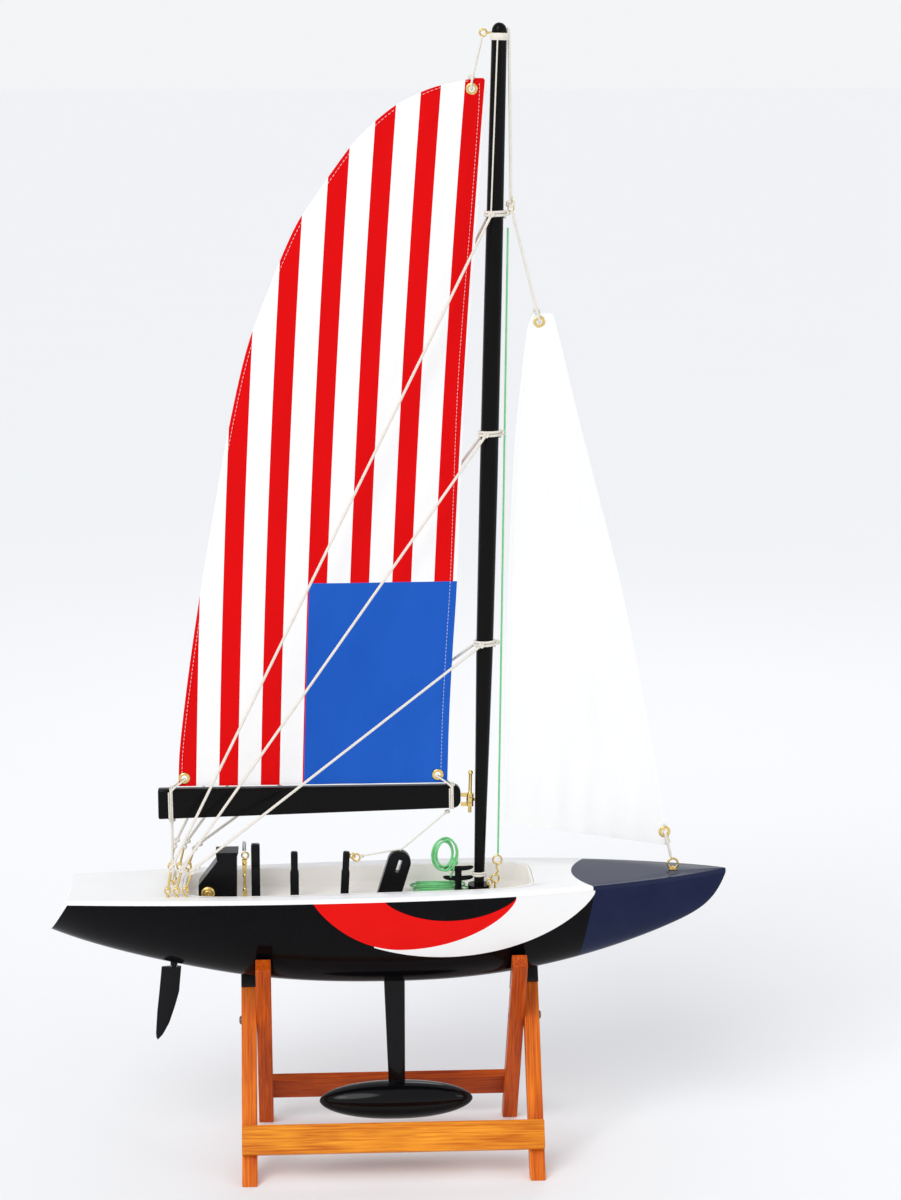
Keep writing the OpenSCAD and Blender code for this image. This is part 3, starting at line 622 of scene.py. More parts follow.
def hull_section(x, at_x, inset):
    b = max(0.00025, half_beam(x) - inset)
    top = sheer(x)
    low = min(top - 0.0005, keel_line(x) + inset)
    out = []
    for k in range(-SIDE_POINTS, SIDE_POINTS + 1):
        t = (abs(k) / SIDE_POINTS) ** 1.7
        z = low + (top - low) * t
        y = -math.copysign(1, k) * b * t ** 0.55
        out.append(Vector((at_x - (top - z) * lean_at(x), y, z)))
    return out


def ladder(shape, base, n, mark):
    """Fills a section's outline with rungs from one side to the other."""
    for k in range(n // 2):
        shape.add((base + k, base + k + 1, base + n - 2 - k, base + n - 1 - k), mark)


def make_hull():
    shape = Shape()
    n = 2 * SIDE_POINTS + 1
    rows = len(STATIONS)
    outer = shape.skin([hull_section(x, x, 0) for x in STATIONS], around=False, ends=(False, False))
    inner_x = [x * (1 - WALL / END) if x < 0 else x * (1 - 3 * WALL / END) for x in STATIONS]
    inner = shape.skin([hull_section(x, x, WALL) for x in inner_x], around=False, ends=(False, False))
    for i in range(rows - 1):
        for k in (0, n - 1):
            a = i * n + k
            shape.add((outer + a, outer + a + n, inner + a + n, inner + a))
    shape.add((outer, inner, inner + n - 1, outer + n - 1), 1)
    last = (rows - 1) * n
    shape.add((outer + last, inner + last, inner + last + n - 1, outer + last + n - 1))
    ladder(shape, outer, n, 1)
    ladder(shape, inner, n, 0)
    ladder(shape, outer + last, n, 0)
    ladder(shape, inner + last, n, 0)
    piece(shape, "hull", [HULL, DECK], ["hull_shell"], sharp=50)


WELL_MID_X = -0.022
WELL_HALF_LEN = 0.120
WELL_HALF = 0.0335
DECK_T = 0.003
CAMBER = 0.0003


def well_point(p, inset):
    turn = math.atan2(p.y / WELL_HALF, (p.x - WELL_MID_X) / WELL_HALF_LEN)
    c = math.cos(turn)
    s = math.sin(turn)
    return Vector((
        WELL_MID_X + math.copysign(1, c) * (WELL_HALF_LEN - inset) * abs(c) ** (1 / 3),
        math.copysign(1, s) * (WELL_HALF - inset) * abs(s) ** (1 / 3),
        0,
    ))


def deck_edge():
    """The deck's outline: up the port side, round the bow, down the starboard side and across the transom."""
    overhang = 0.0003
    side = [Vector((x, half_beam(x) + overhang, 0)) for x in STATIONS]
    across = 14
    stern = [Vector((TRANSOM_X, side[0].y * (2 * i / across - 1), 0)) for i in range(1, across)]
    return side + [Vector((p.x, -p.y, 0)) for p in reversed(side)] + stern


EDGE = deck_edge()


def raised(p, z):
    return Vector((p.x, p.y, z))


def make_deck():
    shape = Shape()
    loops = []
    for inward, up in [(0, 0.00002), (0, 0.0020), (0.00015, 0.0026), (0.0005, 0.0029), (0.0011, DECK_T)]:
        loop = []
        for p in EDGE:
            middle = Vector((min(max(p.x, -0.19), 0.15), 0, 0))
            q = p + (middle - p).normalized() * inward
            loop.append(raised(q, sheer(p.x) + up))
        loops.append(loop)
    for share in (0.35, 0.7):
        loop = []
        for p in EDGE:
            q = p.lerp(well_point(p, 0), share)
            loop.append(raised(q, sheer(q.x) + DECK_T + CAMBER * share))
        loops.append(loop)
    deck_top = DECK_T + CAMBER
    for inset, up in [(-0.0004, deck_top), (0, deck_top - 0.0003), (0, 0.0005), (-0.0003, 0.00002)]:
        rim = [well_point(p, inset) for p in EDGE]
        loops.append([raised(q, sheer(q.x) + up) for q in rim])
    shape.skin(loops, closed=True)
    piece(shape, "deck_plate", [DECK], ["deck"], sharp=40)


TRAY_T = 0.002
FLOOR_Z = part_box("sunken_deck")[0].z + TRAY_T


def make_well():
    """The sunken deck: a shallow tray with a rounded foot to its walls."""
    shape = Shape()
    edges = [(0.0002, None, -0.0015), (0.0002, None, -0.0004), (0.0008, None, 0), (0.0016, None, 0),
             (0.002, None, -0.0004), (0.0021, FLOOR_Z, 0.0035), (0.0026, FLOOR_Z, 0.0014),
             (0.0036, FLOOR_Z, 0.0004), (0.0052, FLOOR_Z, 0)]
    loops = [[raised(well_point(p, 0.0002), FLOOR_Z - TRAY_T) for p in EDGE]]
    for inset, level, up in edges:
        loop = []
        for p in EDGE:
            q = well_point(p, inset)
            z = level if level is not None else sheer(q.x) + DECK_T + CAMBER - 0.0002
            loop.append(raised(q, z + up))
        loops.append(loop)
    shape.skin(loops)
    piece(shape, "sunken_deck_tray", [WELL], ["sunken_deck"], sharp=60)


# ---- Keel and rudder ----

def foil(lead, trail, half_t, n=16):
    """A closed foil section from (x, z) lead to (x, z) trail, round in front and fine behind."""
    out = []
    for k in range(2 * n):
        t = k / n if k < n else 2 - k / n
        s = 1 if k < n else -1
        t = (1 - math.cos(math.pi * t)) / 2
        thick = half_t * 2.1 * (1.02 * math.sqrt(t) - 0.45 * t - 0.55 * t * t)
        x = lead[0] + (trail[0] - lead[0]) * t
        z = lead[1] + (trail[1] - lead[1]) * t
        out.append(mm(x, s * max(0.08, thick), z))
    return out


def between(table, key):
    """Reads a value from (key, value) pairs in rising order of key."""
    for (k0, v0), (k1, v1) in zip(table, table[1:]):
        if key <= k1:
            return v0 + (v1 - v0) * (key - k0) / (k1 - k0)
    return table[-1][1]


def make_keel():
    """A fin that widens upwards, and a bulb turned to a fine torpedo."""
    shape = Shape()
    fin_low = 47.5
    fin_top = 123.8
    loops = []
    for i in range(15):
        share = i / 14
        z = fin_low + (fin_top - fin_low) * share
        loops.append(foil((10, z), (-1.5 - 3 * share, z), 2))
    shape.skin(loops)
    piece(shape, "keel_fin_foil", [KEEL], ["keel_fin"], sharp=50)
    shape = Shape()
    bulb_r = 0.0135
    half_len = 0.0535
    steps = 32
    profile = []
    for i in range(-steps, steps + 1):
        u = math.sin(math.pi / 2 * i / steps)
        profile.append((bulb_r * max(0.0, 1 - abs(u) ** 2.2) ** 0.55, half_len * u))
    lathe(shape, profile, mm(3.7, 0, 36), Vector((1, 0, 0)), 48)
    piece(shape, "keel_bulb_casting", [KEEL], ["keel_bulb"], sharp=60)


def make_rudder():
    """A sabre-shaped blade. lead and trail give x by height along its two edges."""
    shape = Shape()
    lead = [(83.6, -160.8), (87, -157.6), (95.4, -153), (107.7, -148.8), (118, -145.8), (136.3, -144)]
    trail = [(83.6, -161.5), (85, -162.2), (88, -162.4), (104, -161.2), (118, -159.5), (136.3, -157.5)]
    tip_z = lead[0][0]
    top_z = lead[-1][0]
    loops = []
    for i in range(29):
        z = tip_z + (top_z - tip_z) * (i / 28) ** 1.25
        thick = 2.4 * min(1.0, 0.3 + (z - tip_z) / 26)
        loops.append(foil((between(lead, z), z), (between(trail, z), z), thick))
    shape.skin(loops)
    piece(shape, "rudder_foil", [KEEL], ["rudder_blade"], body="rudder", sharp=50)


# ---- Mast and boom ----

MAST_LEAN = math.radians(1.2)
MAST_AXIS = Vector((math.sin(MAST_LEAN), 0, math.cos(MAST_LEAN)))
MAST_FOOT = Vector((0.0612, 0, FLOOR_Z + 0.0015))
MAST_TOP_Z = 0.774
MAST_SIZE = [(0, 3.5), (0.02, 3.5), (0.3, 5.78), (0.48, 6.15), (0.7, 5.9), (0.99, 5.0), (1, 5.0)]


def mast_at(z):
    return MAST_FOOT + MAST_AXIS * ((z - MAST_FOOT.z) / MAST_AXIS.z)


def mast_r(z):
    share = (z - MAST_FOOT.z) / (MAST_TOP_Z - MAST_FOOT.z)
    return between(MAST_SIZE, share) * 0.001


def make_mast():
    shape = Shape()
    length = MAST_TOP_Z - MAST_FOOT.z
    profile = []
    for i in range(61):
        h = length * i / 60 * 0.99
        profile.append((mast_r(MAST_FOOT.z + h), h))
    for turn in (20, 40, 60, 75, 90):
        a = math.radians(turn)
        profile.append((0.005 * math.cos(a), length * 0.99 + length * 0.0095 * math.sin(a)))
    lathe(shape, profile, MAST_FOOT, MAST_AXIS, 40)
    piece(shape, "mast_spar", [SPAR], ["mast"], sharp=50)


BOOM_TOP = 263.0
BOOM_AFT = -157.5
BOOM_FORE = 48.5


def boom_low(x):
    return BOOM_TOP - 16 - 5 * (BOOM_FORE - x) / (BOOM_FORE - BOOM_AFT)


def boom_section(x, trim, side_trim):
    """A rounded oblong: trim is taken off its top and bottom, side_trim off its sides."""
    top = BOOM_TOP - trim
    low = boom_low(x) + trim
    half = 4 - side_trim
    r = min(1.7, half * 0.6)
    out = []
    corners = [(half - r, top - r), (r - half, top - r), (r - half, low + r), (half - r, low + r)]
    for first, (cy, cz) in enumerate(corners):
        for k in range(6):
            a = math.pi / 2 * (first + k / 5)
            out.append(mm(x, cy + r * math.cos(a), cz + r * math.sin(a)))
    return out


def make_boom():
    shape = Shape()
    nose = 5
    nose_x = BOOM_FORE - nose
    start = BOOM_AFT + 1
    loops = [boom_section(BOOM_AFT + 0.02, 0.9, 0.9), boom_section(BOOM_AFT + 0.3, 0.3, 0.3)]
    for i in range(41):
        loops.append(boom_section(start + (nose_x - start) * i / 40, 0, 0))
    for i in range(1, 12):
        turn = math.pi / 2 * i / 12
        trim = nose * (1 - math.cos(turn))
        loops.append(boom_section(nose_x + nose * math.sin(turn), trim, 1.2 * (i / 12) ** 4))
    shape.skin(loops)
    piece(shape, "boom_spar", [BOOM], ["boom"], body="boom", sharp=40)


# ---- Sails ----

MAIN_LEECH = [
    (-143.5, 264.4), (-142, 292), (-135, 345), (-126, 401), (-117, 451), (-106, 508), (-93, 562),
    (-78, 602),
    (-60.5, 641.5), (-46, 663.5), (-28, 688.5), (-17.5, 701), (-0.5, 716), (12, 724), (27.5, 731),
    (38.5, 734), (57, 738),
]
MAIN_LUFF = [
    (39.5, 264.4), (40.8, 310), (43, 354), (46, 403), (48, 458), (50.6, 528), (54, 580), (59.5, 650),
    (63, 699), (65, 733), (63, 738),
]
JIB_LEECH = [
    (78.5, 235), (78.5, 270), (79.3, 330), (80.4, 400), (82.4, 458), (84.5, 498), (88.3, 538), (92.5, 574),
    (96.5, 584.5),
]
JIB_LUFF = [
    (190.5, 217.5), (192.8, 220), (191, 230), (182, 278), (170, 340), (156.5, 402.5), (142, 459),
    (127.5, 514), (111, 579.5), (108, 584.5),
]
CLEW = (-139.5, 269.9)
TACK = (33, 269.9)
HEAD = (55.5, 731)
LUFF_SLOPE = (195.5 - 81.5) / (655 - 203)
JIB_TACK = (195.5 - LUFF_SLOPE * (227 - 203), 227)
JIB_HEAD = (195.5 - LUFF_SLOPE * (579 - 203), 579)
GROMMET_R = 4.0


def chain(points, count):
    """Evenly spread points along a smooth line through the given ones."""
    line = curve_points([Vector((p[0], p[1], 0)) for p in points], 1.0)
    lengths = [0.0]
    for a, b in zip(line, line[1:]):
        lengths.append(lengths[-1] + (b - a).length)
    out = []
    k = 0
    for i in range(count + 1):
        want = lengths[-1] * i / count
        while k < len(line) - 2 and lengths[k + 1] < want:
            k += 1
        span = max(lengths[k + 1] - lengths[k], 1e-9)
        out.append(line[k].lerp(line[k + 1], min(1.0, (want - lengths[k]) / span)))
    return out


class Sail:
    """A sail between its leech and its luff, in millimetres, bellied and softly rippled."""

    def __init__(self, leech, luff, belly, ripple, phase):
        self.leech = leech
        self.luff = luff
        self.belly = belly
        self.ripple = ripple
        self.phase = phase

    def off(self, u, v):
        """How far the cloth stands off the middle plane."""
        across = math.sin(math.pi * min(1, max(0, u)))
        fill = across * math.sin(math.pi * min(1, max(0, v))) ** 0.7
        soft = math.sin(TURN * (u * 3.1 + v * 1.3) + self.phase) * 0.6
        soft += math.sin(TURN * (u * 5.3 - v * 2.1) + 2 * self.phase) * 0.3
        foot_fold = math.exp(-((v - 0.06) / 0.06) ** 2) * math.sin(TURN * u * 6 + self.phase) * 0.9
        ripple = (soft * math.sin(math.pi * v) ** 0.5 + foot_fold) * across ** 0.8
        return -self.belly * fill - self.ripple * ripple

    def solid(self, rows, columns, luff_hem, leech_hem):
        """The cloth as a closed solid that is thicker in its hems."""
        shape = Shape()
        left = chain(self.leech, rows)
        right = chain(self.luff, rows)
        loops = []
        for i, (a, b) in enumerate(zip(left, right)):
            width = (b - a).length
            aft_hem = min(leech_hem, width * 0.3)
            fore_hem = min(luff_hem, width * 0.3)
            offsets = [0, aft_hem * 0.5, aft_hem, aft_hem + 0.12]
            inner = width - fore_hem - aft_hem - 0.24
            offsets += [aft_hem + 0.12 + inner * k / columns for k in range(1, columns)]
            offsets += [width - fore_hem - 0.12, width - fore_hem, width - fore_hem * 0.5, width]
            foot = i <= 1 or i >= rows - 1
            front = []
            back = []
            for offset in offsets:
                u = offset / width
                in_hem = foot or offset <= aft_hem or offset >= width - fore_hem
                half = 0.38 if in_hem else 0.22
                p = a.lerp(b, u)
                y = self.off(u, i / rows)
                front.append(mm(p.x, y - half, p.y))
                back.append(mm(p.x, y + half, p.y))
            loops.append(front + back[::-1])
        shape.skin(loops)
        return shape

    def stitches(self, shape, share_rows, from_side, hem):
        """Short threads along a hem, on both faces."""
        left = chain(self.leech, share_rows)
        right = chain(self.luff, share_rows)
        for i in range(2, share_rows - 2):
            ends = []
            for j in (i + 0.2, i + 0.8):
                whole = int(j)
                a = left[whole].lerp(left[whole + 1], j - whole)
                b = right[whole].lerp(right[whole + 1], j - whole)
                width = (b - a).length
                u = hem / width if from_side == "leech" else 1 - hem / width
                ends.append((a.lerp(b, u), self.off(u, j / share_rows)))
            for face in (-1, 1):
                path = [mm(p.x, y + face * 0.42, p.y) for p, y in ends]
                tube(shape, path, 0.00013, 5)


def punch(obj, holes, radius):
    """Cuts round holes through a sail, at (x, z) in millimetres."""
    cutters = []
    for i, at in enumerate(holes):
        shape = Shape()
        r = radius * 0.001
        lathe(shape, [(r, -0.02), (r, 0.02)], mm(at[0], 0, at[1]), Vector((0, 1, 0)), 32)
        cutter = make_object(shape, f"cutter_{i}", [])
        modifier = obj.modifiers.new(cutter.name, "BOOLEAN")
        modifier.object = cutter
        modifier.solver = "EXACT"
        cutters.append(cutter)
    bpy.context.view_layer.update()
    cut = bpy.data.meshes.new_from_object(obj.evaluated_get(bpy.context.evaluated_depsgraph_get()))
    obj.modifiers.clear()
    obj.data = cut
    for cutter in cutters:
        bpy.data.objects.remove(cutter)


def grommets(name, places, body, replaced):
    """Rolled brass rings set through the cloth."""
    shape = Shape()
    profile = [(2.0, -0.55), (2.1, -0.85), (2.6, -0.98), (3.2, -0.98), (3.8, -0.8), (4.0, -0.5),
               (4.0, 0.5), (3.8, 0.8), (3.2, 0.98), (2.6, 0.98), (2.1, 0.85), (2.0, 0.55)]
    for x, z in places:
        loops = []
        for k in range(40):
            a = TURN * k / 40
            loops.append([mm(x + r * math.cos(a), y, z + r * math.sin(a)) for r, y in profile])
        shape.skin(loops, closed=True)
    piece(shape, name, [BRASS], [replaced], body=body, sharp=50)


def make_sails():
    main = Sail(MAIN_LEECH, MAIN_LUFF, 3.0, 0.7, 0.6)
    cloth = make_object(main.solid(150, 70, 5.5, 3.0), "mainsail_cloth", [MAIN], 30)
    punch(cloth, [CLEW, TACK, HEAD], GROMMET_R - 0.3)
    finish_sail(cloth, "boom", "mainsail")
    threads = Shape()
    main.stitches(threads, 190, "luff", 4.6)
    main.stitches(threads, 190, "leech", 2.2)
    piece(threads, "mainsail_stitches", [THREAD], body="boom")
    jib = Sail(JIB_LEECH, JIB_LUFF, 2.6, 0.6, 2.1)
    cloth = make_object(jib.solid(110, 40, 4.5, 3.0), "jib_cloth_panel", [JIB], 30)
    punch(cloth, [JIB_TACK, JIB_HEAD], GROMMET_R - 0.3)
    finish_sail(cloth, "jib", "jib")
    threads = Shape()
    jib.stitches(threads, 140, "luff", 3.6)
    jib.stitches(threads, 140, "leech", 2.2)
    piece(threads, "jib_stitches", [THREAD], body="jib")
    grommets("mainsail_rings", [CLEW, TACK, HEAD], "boom", "mainsail_grommets")
    grommets("jib_rings", [JIB_TACK, JIB_HEAD], "jib", "jib_grommets")


def finish_sail(cloth, body, node):
    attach(cloth, body)
    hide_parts(node)


# ---- White cords ----

CORD = 0.002
THIN_CORD = 0.0016
LOOP_Z = [0.650, 0.5045, 0.3615]
EYE_X = [-0.151, -0.145, -0.139]
EYE_Y = 0.0285
HOOK_TOP_Z = 0.209
HOOK_REACH = 0.006
SHEET_X = -0.1485
HALYARD_END = Vector((0.0815, 0, 0.655))
BOW_EYE = Vector((0.1955, 0, 0.203))
BAND_Z = 0.7645
POST_RINGS = Vector((-0.023, 0, 0.212))


def mast_coil(shape, z, turns, diameter, grow=0.00005):
    """Cord wound round the mast."""
    side = Vector((MAST_AXIS.z, 0, -MAST_AXIS.x))
    up = Vector((0, 1, 0))
    points = []
    count = turns * 20
    pitch = diameter * 1.02
    for k in range(count + 1):
        a = TURN * k / 20
        centre = mast_at(z + pitch * (k / 20 - turns / 2))
        r = mast_r(z) + diameter / 2 + grow
        points.append(centre + side * r * math.cos(a) + up * r * math.sin(a))
    rope(shape, points, diameter)


def make_mast_cords():
    """The loops that hold the stays, a turn at the foot, and the band and thin cord of the masthead."""
    shape = Shape()
    for z in LOOP_Z:
        mast_coil(shape, z, 2, CORD)
        knot(shape, mast_at(z) + Vector((mast_r(z) + 0.0024, 0, 0.0005)), 0.0032, 0.0016)
    mast_coil(shape, 0.199, 2, THIN_CORD)
    piece(shape, "mast_turns", [WHITE_CORD], ["mast_loops"], sharp=60)
    shape = Shape()
    r = mast_r(BAND_Z)
    half = [(r, 0.0023), (r + 0.0008, 0.0023), (r + 0.0011, 0.0019)]
    lathe(shape, [(d, -h) for d, h in half] + half[::-1], mast_at(BAND_Z), MAST_AXIS, 40)
    top = mast_at(BAND_Z) + Vector((-0.0014, -r - 0.0006, 0))
    low_z = LOOP_Z[0] + 0.0015
    low = mast_at(low_z) + Vector((-0.0030, -mast_r(low_z) - 0.0004, 0))
    rope(shape, [top, low], 0.0011)
    piece(shape, "masthead_band", [WHITE_CORD], sharp=50)


def stay_ends(i, side):
    """Where a stay leaves its mast loop, and where its hook would end. side is 1 to starboard."""
    z = LOOP_Z[i]
    r = mast_r(z) + 0.0032
    leave = math.radians(20)
    top = mast_at(z) + Vector((-r * math.sin(leave), -side * r * math.cos(leave), 0))
    return top, Vector((EYE_X[i], -side * EYE_Y, HOOK_TOP_Z))


def make_stays():
    for side, name in ((1, "starboard"), (-1, "port")):
        shape = Shape()
        for i in range(3):
            top, end = stay_ends(i, side)
            low = end + (top - end).normalized() * HOOK_REACH
            rope(shape, [top, low + mm(0, 0, 0.6)], CORD)
            knot(shape, top, 0.0034, 0.0015, 1.0)
            knot(shape, low + (top - low).normalized() * 0.0045, 0.0034, 0.0015, 0.4)
            ring(shape, low - mm(0, 0, 0.4), 0.0013, 0.0015)
        piece(shape, f"{name}_stay_cords", [WHITE_CORD], [f"{name}_stays"], sharp=60)


def make_halyards():
    """The jib's halyard with its brass rings, the jib's own cords, and the mainsail's head tie."""
    shape = Shape()
    band_z = 0.7616
    band = mast_at(band_z) + Vector((mast_r(band_z) + 0.0014, 0, 0))
    rope(shape, [band + mm(-1, 0, 3), band, HALYARD_END + mm(0, 0, 3)], CORD)
    knot(shape, HALYARD_END + mm(0, 0, 1.6), 0.0052, CORD, 0.5)
    piece(shape, "jib_halyard_cord", [WHITE_CORD], ["jib_halyard"], sharp=60)
    shape = Shape()
    ring(shape, HALYARD_END + mm(0, 0, -1.4), 0.0019, 0.0009)
    ring(shape, HALYARD_END + mm(0.6, 0, 4.2), 0.0017, 0.0009, Vector((0, 1, 0)))
    piece(shape, "halyard_rings", [BRASS], sharp=60)
    make_jib_cords()
    make_head_tie()


def make_jib_cords():
    """A cord through each of the jib's grommets, down to the bow eye and up to the halyard."""
    shape = Shape()
    down = Vector((LUFF_SLOPE, 0, -1))
    tack = mm(JIB_TACK[0], 0, JIB_TACK[1])
    rope(shape, [BOW_EYE - down * 0.006 + mm(0, -1.2, 0), tack + down * 0.0035 + mm(0, -2.2, 0),
                 tack + mm(0, -1.2, 0), tack + mm(0, 1.2, 0), tack + down * 0.004 + mm(0, 2.2, 0)], CORD)
    knot(shape, tack + down * 0.0065, 0.0038, 0.0016)
    head = mm(JIB_HEAD[0], 0, JIB_HEAD[1])
    rope(shape, [head - down * 0.004 + mm(0, 2.2, 0), head + mm(0, 1, 0), head + mm(0, -1, 0),
                 head - down * 0.0045 + mm(0, -2.2, 0), head - down * 0.02 + mm(0, -1, 0),
                 HALYARD_END + down * 0.0026], CORD)
    knot(shape, head - down * 0.007, 0.0038, 0.0016)
    piece(shape, "jib_luff_cords", [WHITE_CORD], ["jib_cords"], body="jib", sharp=60)


def make_head_tie():
    """From the mainsail's head grommet to the masthead eye."""
    shape = Shape()
    head = mm(HEAD[0], 0, HEAD[1])
    eye_z = 0.7652
    end = mast_at(eye_z) + Vector((-mast_r(eye_z) - 0.0060, 0, 0))
    rope(shape, [head + mm(0, 2.2, 4), head + mm(0, 1, 0), head + mm(0, -1, 0), head + mm(0, -2.2, 5), end],
         THIN_CORD)
    knot(shape, head + mm(-0.1, 0, 7.5), 0.0034, 0.0014)
    piece(shape, "mainsail_head_tie", [WHITE_CORD], ["mainsail_head_cord"], body="boom", sharp=60)


LASHING_AFT = SHEET_X * 1000
LASHING_FORE = 42.5


def band_turns(shape, x, turns, diameter):
    """Thin cord wound round the boom."""
    thick = diameter * 1000
    half = 4 + thick / 2
    low = boom_low(x) - thick / 2
    top = BOOM_TOP + thick / 2
    corners = [(-half, top - 2.4), (-half, low + 2.4), (-half + 1.1, low + 0.5), (half - 1.1, low + 0.5),
               (half, low + 2.4), (half, top - 2.4), (half - 1.1, top - 0.5), (1.1 - half, top - 0.5)]
    points = []
    for t in range(turns):
        for k, (y, z) in enumerate(corners):
            points.append(mm(x + thick * 1.05 * (t + k / 8 - turns / 2), y, z))
    rope(shape, points, diameter)


def tie(shape, grommet, lashing_x):
    """A short tie from a grommet down both sides of the boom."""
    x, z = grommet
    points = []
    for s in (-1, 1):
        leg = [mm(lashing_x, s * 5, BOOM_TOP - 6), mm(lashing_x, s * 5, BOOM_TOP - 1.5),
               mm(lashing_x * 0.6 + x * 0.4, s * 3.4, BOOM_TOP + 2.2), mm(x, s * 1.5, z - 1)]
        points += leg if s < 0 else leg[::-1]
    rope(shape, points, 0.0014)


def make_lashings():
    shape = Shape()
    for x in (LASHING_AFT, LASHING_FORE):
        band_turns(shape, x, 3, 0.00105)
    tie(shape, CLEW, LASHING_AFT)
    tie(shape, TACK, LASHING_FORE)
    piece(shape, "boom_lashing_cords", [WHITE_CORD], ["boom_lashings"], body="boom", sharp=60)


def make_kicker():
    """From under the boom, over the fairlead, to the rings on the fore post."""
    shape = Shape()
    start = mm(39.5, 0, boom_low(LASHING_FORE) - 3.2)
    over = Vector((0.0068, 0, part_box("slotted_fairlead")[1].z + 0.0007))
    down = POST_RINGS + mm(3.5, 0, 1)
    rope(shape, [start, over + mm(3, 0, 1.5), over, over + mm(-4, 0, -0.6), down], 0.0012)
    knot(shape, start, 0.003, 0.001)
    knot(shape, down, 0.0028, 0.001)
    piece(shape, "kicker_line", [WHITE_CORD], ["kicker_cord"], sharp=60)


def make_mainsheet():
    """The sheet runs between the deck eye on the boat and the boom, and rides on no body."""
    shape = Shape()
    low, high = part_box("mainsheet")
    bottom = Vector((SHEET_X, 0, low.z))
    top = Vector((SHEET_X, 0, high.z))
    rope(shape, [bottom, top + mm(0, 0, 0.8)], CORD)
    obj = make_object(shape, "mainsheet_cord", [WHITE_CORD], 60)
    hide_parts("mainsheet")
    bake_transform(obj)
    shape = Shape()
    knot(shape, bottom - mm(0, 0, 0.4), 0.004, 0.0016)
    ring(shape, bottom - mm(0, 0, 2.2), 0.0018, 0.0015, Vector((0, 1, 0)))
    piece(shape, "mainsheet_knot", [WHITE_CORD])
    shape = Shape()
    knot(shape, top + mm(0, 0, 0.4), 0.004, 0.0016)
    piece(shape, "mainsheet_top_knot", [WHITE_CORD], body="boom")


# ---- Green cord ----

GREEN = 0.0014
CLEAT_X = 0.047
CLEAT_BARS = (0.196, 0.203)
COIL_AT = Vector((0.0375, -0.0056, FLOOR_Z + 0.032))
COIL_R = 0.0084
COIL_TURNS = 4
HANK_FROM = Vector((0.0200, 0.0120, FLOOR_Z + 0.0010))
HANK_LEN = 0.030
HANK_R = 0.0042
HANK_TURNS = 4
HANK_SHIFTS = [(0.0, 0.0), (0.003, -0.0007), (-0.002, 0.0005), (0.001, -0.0003)]


def green_route():
    """From the cleat, upright turns that hang on it, then flat turns on the sunken deck."""
    across = Matrix.Rotation(math.radians(20), 3, "Z") @ Vector((1, 0, 0))
    normal = Vector((0, 0, 1)).cross(across)
    up = Vector((0, 0, 1))
    route = [Vector((0.0455, -0.0030, 0.2068)), Vector((0.0462, -0.0045, 0.2090))]
    per_turn = 20
    total = COIL_TURNS * per_turn
    for k in range(total + 1):
        a = TURN * (-0.05 + k / per_turn)
        lay = k / total
        wobble = math.sin(TURN * lay * 2.35 + 0.6)
        spread = GREEN * 1.15 * math.sin(TURN * lay * 1.5)
        r = COIL_R + 0.0012 * wobble
        centre = COIL_AT + normal * spread + across * 0.0006 * math.cos(TURN * lay * 1.7)
        route.append(centre + across * r * math.cos(a) * 0.88 + up * r * math.sin(a) * 1.2)
    route += [COIL_AT + mm(6, 1, -11), COIL_AT + mm(4, 6, -19)]
    route.append(Vector((0.0430, 0.0085, FLOOR_Z + 0.0070)))
    for turn in range(HANK_TURNS):
        route += racetrack(HANK_FROM.z + turn * GREEN * 1.02, turn)
    top = HANK_FROM.z + HANK_TURNS * GREEN
    route.append(Vector((0.0420, 0.0080, top)))
    route.append(Vector((0.0300, 0.0086, top + 0.0005)))
    route.append(Vector((0.0200, 0.0125, top)))
    return route


def racetrack(z, turn):
    """One turn of the hank: two long runs and two round ends, each turn laid a little askew."""
    along, across = HANK_SHIFTS[turn]
    out = []
    for end, first in ((HANK_FROM.x + HANK_LEN - 0.003, -0.25), (HANK_FROM.x + 0.001, 0.25)):
        for k in range(7):
            a = TURN * (first + k / 12)
            share = (0 if first < 0 else 0.5) + k / 14
            at = Vector((end + along, HANK_FROM.y + across, z + GREEN * share))
            out.append(at + Vector((HANK_R * math.cos(a), HANK_R * math.sin(a), 0)))
    return out


def make_green_cord():
    route = curve_points(green_route(), ROPE_STEP)
    shape = Shape()
    tube(shape, route, GREEN / 2, 10, False, 3, 220, 0.12)
    obj = piece(shape, "spare_green_cord", [GREEN_CORD], ["green_coil", "green_hank"], sharp=60)
    shape = Shape()
    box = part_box("green_line")
    rope(shape, [Vector((box[1].x - 0.0007, 0, box[1].z)), Vector((box[0].x + 0.0007, 0, box[0].z))], GREEN)
    piece(shape, "green_halyard", [GREEN_CORD], ["green_line"], sharp=60)


# ---- Brass and fittings ----

EYE_RING_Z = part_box("deck_eyes")[1].z - 0.0026


def hook(shape, low, high):
    """Two brass wires twisted together, with an open loop at each end."""
    along = (high - low).normalized()
    side = along.cross(Vector((0, 1, 0))).normalized()
    loop = circle_points(low + along * 0.0012, 0.0015, -along, side, 16, 0.1, 0.95)
    wire(shape, loop, 0.0009, 0.0003)
    loop = circle_points(high - along * 0.0008, 0.0014, along, side, 16, 0.08, 0.95)
    wire(shape, loop, 0.0009, 0.0003)
    path = curve_points([low + along * 0.0026, high - along * 0.0022], 0.0003)
    tube(shape, path, 0.0009, 12, False, 2, 420, 0.35)


